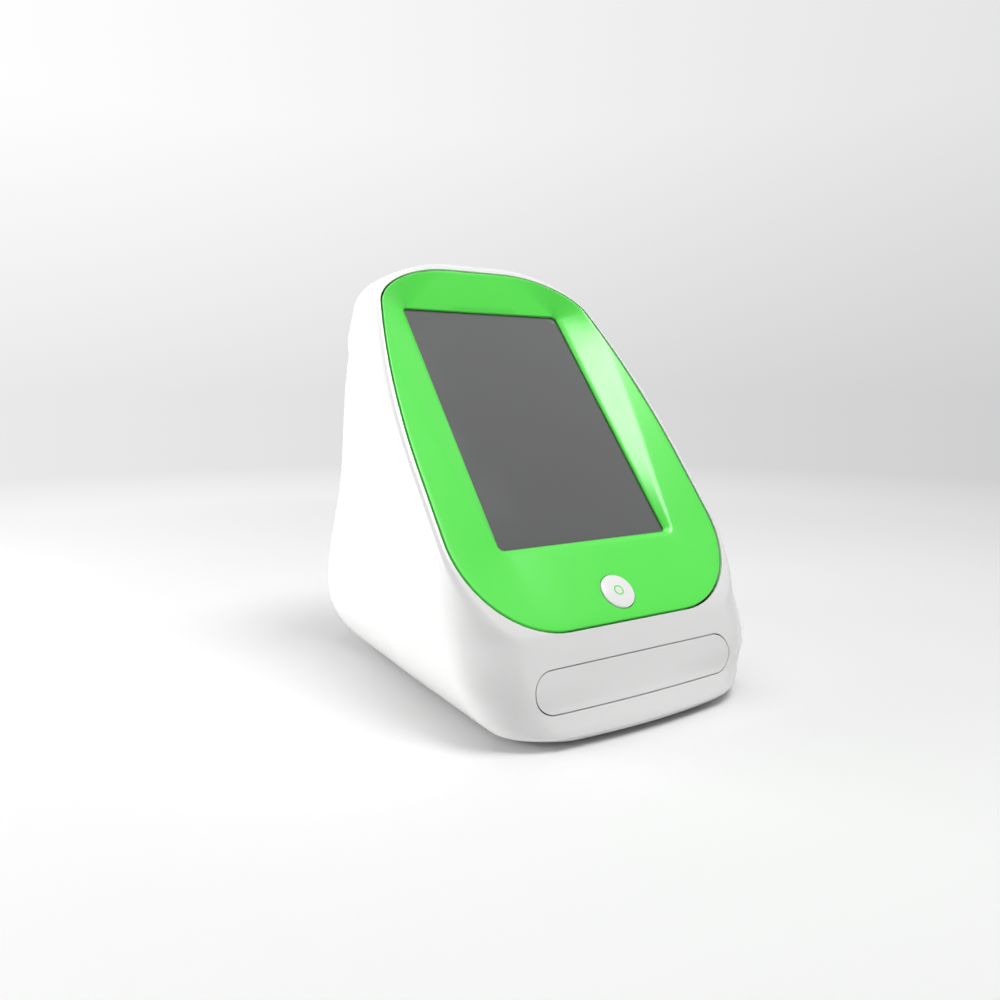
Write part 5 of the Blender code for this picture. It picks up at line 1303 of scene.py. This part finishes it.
class ANALYSER_OT_fasteners(Operator):
    """Add the visible screws with their cross recesses and the turned rubber feet"""

    bl_idname = "analyser.fasteners"
    bl_label = "Screws and Feet"

    def execute(self, context):
        steel = finish_named(context, "screw_bright_steel")
        pattern = self.screw()
        places = [(f"base_screw_{number}", Vector((0, 0, 1)), 2) for number in range(1, 5)]
        places += [(f"cover_screw_{side}", Vector((0, -1, 0)), 1) for side in ("left", "right")]
        for node, axis, index in places:
            low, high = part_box(node)
            seat = (low + high) / 2
            seat[index] = low.z + 0.0015 if index == 2 else high.y - 0.0015
            turn = axis.to_track_quat("Z", "Y").to_matrix().to_4x4()
            screw = copied(pattern, Matrix.Translation(seat) @ turn)
            dressed(screw, f"{node}_cross", "casing", steel, [node])
        bpy.data.objects.remove(pattern, do_unlink=True)
        rubber = finish_named(context, "foot_rubber")
        profile = (
            (0.0, 0.0005), (0.0030, 0.0005), (0.0034, 0.0001), (0.0038, 0.0), (0.0060, 0.0), (0.0066, 0.0002),
            (0.0069, 0.0006), (0.0070, 0.0011), (0.0070, 0.0025), (0.0068, 0.0027), (0.0, 0.0027),
        )
        pattern = turned(profile, (0, 0, 0), (0, 0, 1), 64)
        for number in range(1, 5):
            low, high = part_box(f"rubber_foot_{number}")
            middle = (low + high) / 2
            foot = copied(pattern, Matrix.Translation((middle.x, middle.y, low.z)))
            dressed(foot, f"foot_pad_{number}", "casing", rubber, [f"rubber_foot_{number}"])
        bpy.data.objects.remove(pattern, do_unlink=True)
        return {"FINISHED"}

    def screw(self):
        """One pan-head screw, its seat at the origin and its shank along Z."""
        profile = (
            (0.0, -0.0015), (0.0012, -0.00146), (0.0020, -0.0012), (0.0026, -0.0007), (0.0028, -0.0001),
            (0.0028, 0.0), (0.0015, 0.0), (0.0015, 0.0050), (0.0011, 0.0055), (0.0, 0.0055),
        )
        screw = turned(profile, (0, 0, 0), (0, 0, 1), 40)
        for size in ((0.0017, 0.00035), (0.00035, 0.0017)):
            carved(screw, block((-size[0], -size[1], -0.002), (size[0], size[1], -0.0006)))
        return screw


class ANALYSER_OT_finishes(Operator):
    """Give every part that keeps its own shape its finish"""

    bl_idname = "analyser.finishes"
    bl_label = "Finishes of the Inner Parts"

    def execute(self, context):
        table = {
            "base_grained_grey": ["base_tray"],
            "chassis_zinc_sheet": [
                "drawer_chassis", "board_plate", "display_bracket", "drive_bracket", "connector_plate",
            ],
            "rail_drawn_steel": [
                "drawer_rail_left", "drawer_rail_right", "drawer_slide_left", "drawer_slide_right",
                "guide_rod_front", "guide_rod_rear",
            ],
            "tray_natural_plastic": ["drawer_rack", "drive_pinion", "switch_plunger"],
            "support_grey_plastic": ["rod_support_left", "rod_support_right"],
            "fitting_black_plastic": [
                "scan_carriage", "optical_head", "key_switch", "power_inlet", "switch_frame", "glass_gasket",
            ],
            "lens_glass": ["optical_lens"],
            "socket_plated_steel": ["network_socket", "usb_socket_1", "usb_socket_2"],
            "display_aluminium": ["display_module"],
            "screw_bright_steel": [
                "drive_motor", "scan_motor", *(f"bracket_screw_{number}" for number in range(1, 5)),
            ],
            "standoff_brass": [f"board_standoff_{n}" for n in range(1, 5)],
            "thread_bright_steel": ["lead_screw"],
            "board_solder_mask": ["main_board", "key_board"],
            "cable_white_film": ["display_cable"],
        }
        for finish, nodes in table.items():
            for node in nodes:
                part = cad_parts[node]
                made = finish_named(context, finish)
                if not part.material_slots:
                    part.data.materials.append(made)
                for slot in part.material_slots:
                    slot.material = made
        bare = [name for name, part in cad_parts.items() if not part.hide_render]
        missed = set(bare) - {node for nodes in table.values() for node in nodes}
        if missed:
            raise RuntimeError(f"no finish for {sorted(missed)}")
        return {"FINISHED"}


class ANALYSER_PT_sidebar(Panel):
    """Sizes, colours and the pieces of the analyser"""

    bl_idname = "ANALYSER_PT_sidebar"
    bl_label = "Immunoassay Analyser"
    bl_space_type = "VIEW_3D"
    bl_region_type = "UI"
    bl_category = "Analyser"

    def draw(self, context):
        layout = self.layout
        for group in (context.scene.analyser_sizes, context.scene.analyser_colours):
            box = layout.box()
            for name in group.__annotations__:
                box.prop(group, name)
        for operator in OPERATORS:
            layout.operator(operator.bl_idname)


OPERATORS = (
    ANALYSER_OT_stage,
    ANALYSER_OT_casing,
    ANALYSER_OT_bezel,
    ANALYSER_OT_screen,
    ANALYSER_OT_key,
    ANALYSER_OT_drawer,
    ANALYSER_OT_sockets,
    ANALYSER_OT_fasteners,
    ANALYSER_OT_finishes,
)
CLASSES = (AnalyserSizes, AnalyserColours, *OPERATORS, ANALYSER_PT_sidebar)


def register():
    for entry in CLASSES:
        bpy.utils.register_class(entry)
    bpy.types.Scene.analyser_sizes = PointerProperty(type=AnalyserSizes)
    bpy.types.Scene.analyser_colours = PointerProperty(type=AnalyserColours)


def unregister():
    del bpy.types.Scene.analyser_colours
    del bpy.types.Scene.analyser_sizes
    for entry in reversed(CLASSES):
        bpy.utils.unregister_class(entry)


def main():
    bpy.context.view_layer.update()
    register()
    for operator in OPERATORS:
        group, name = operator.bl_idname.split(".")
        getattr(getattr(bpy.ops, group), name)()


if __name__ == "__main__":
    main()
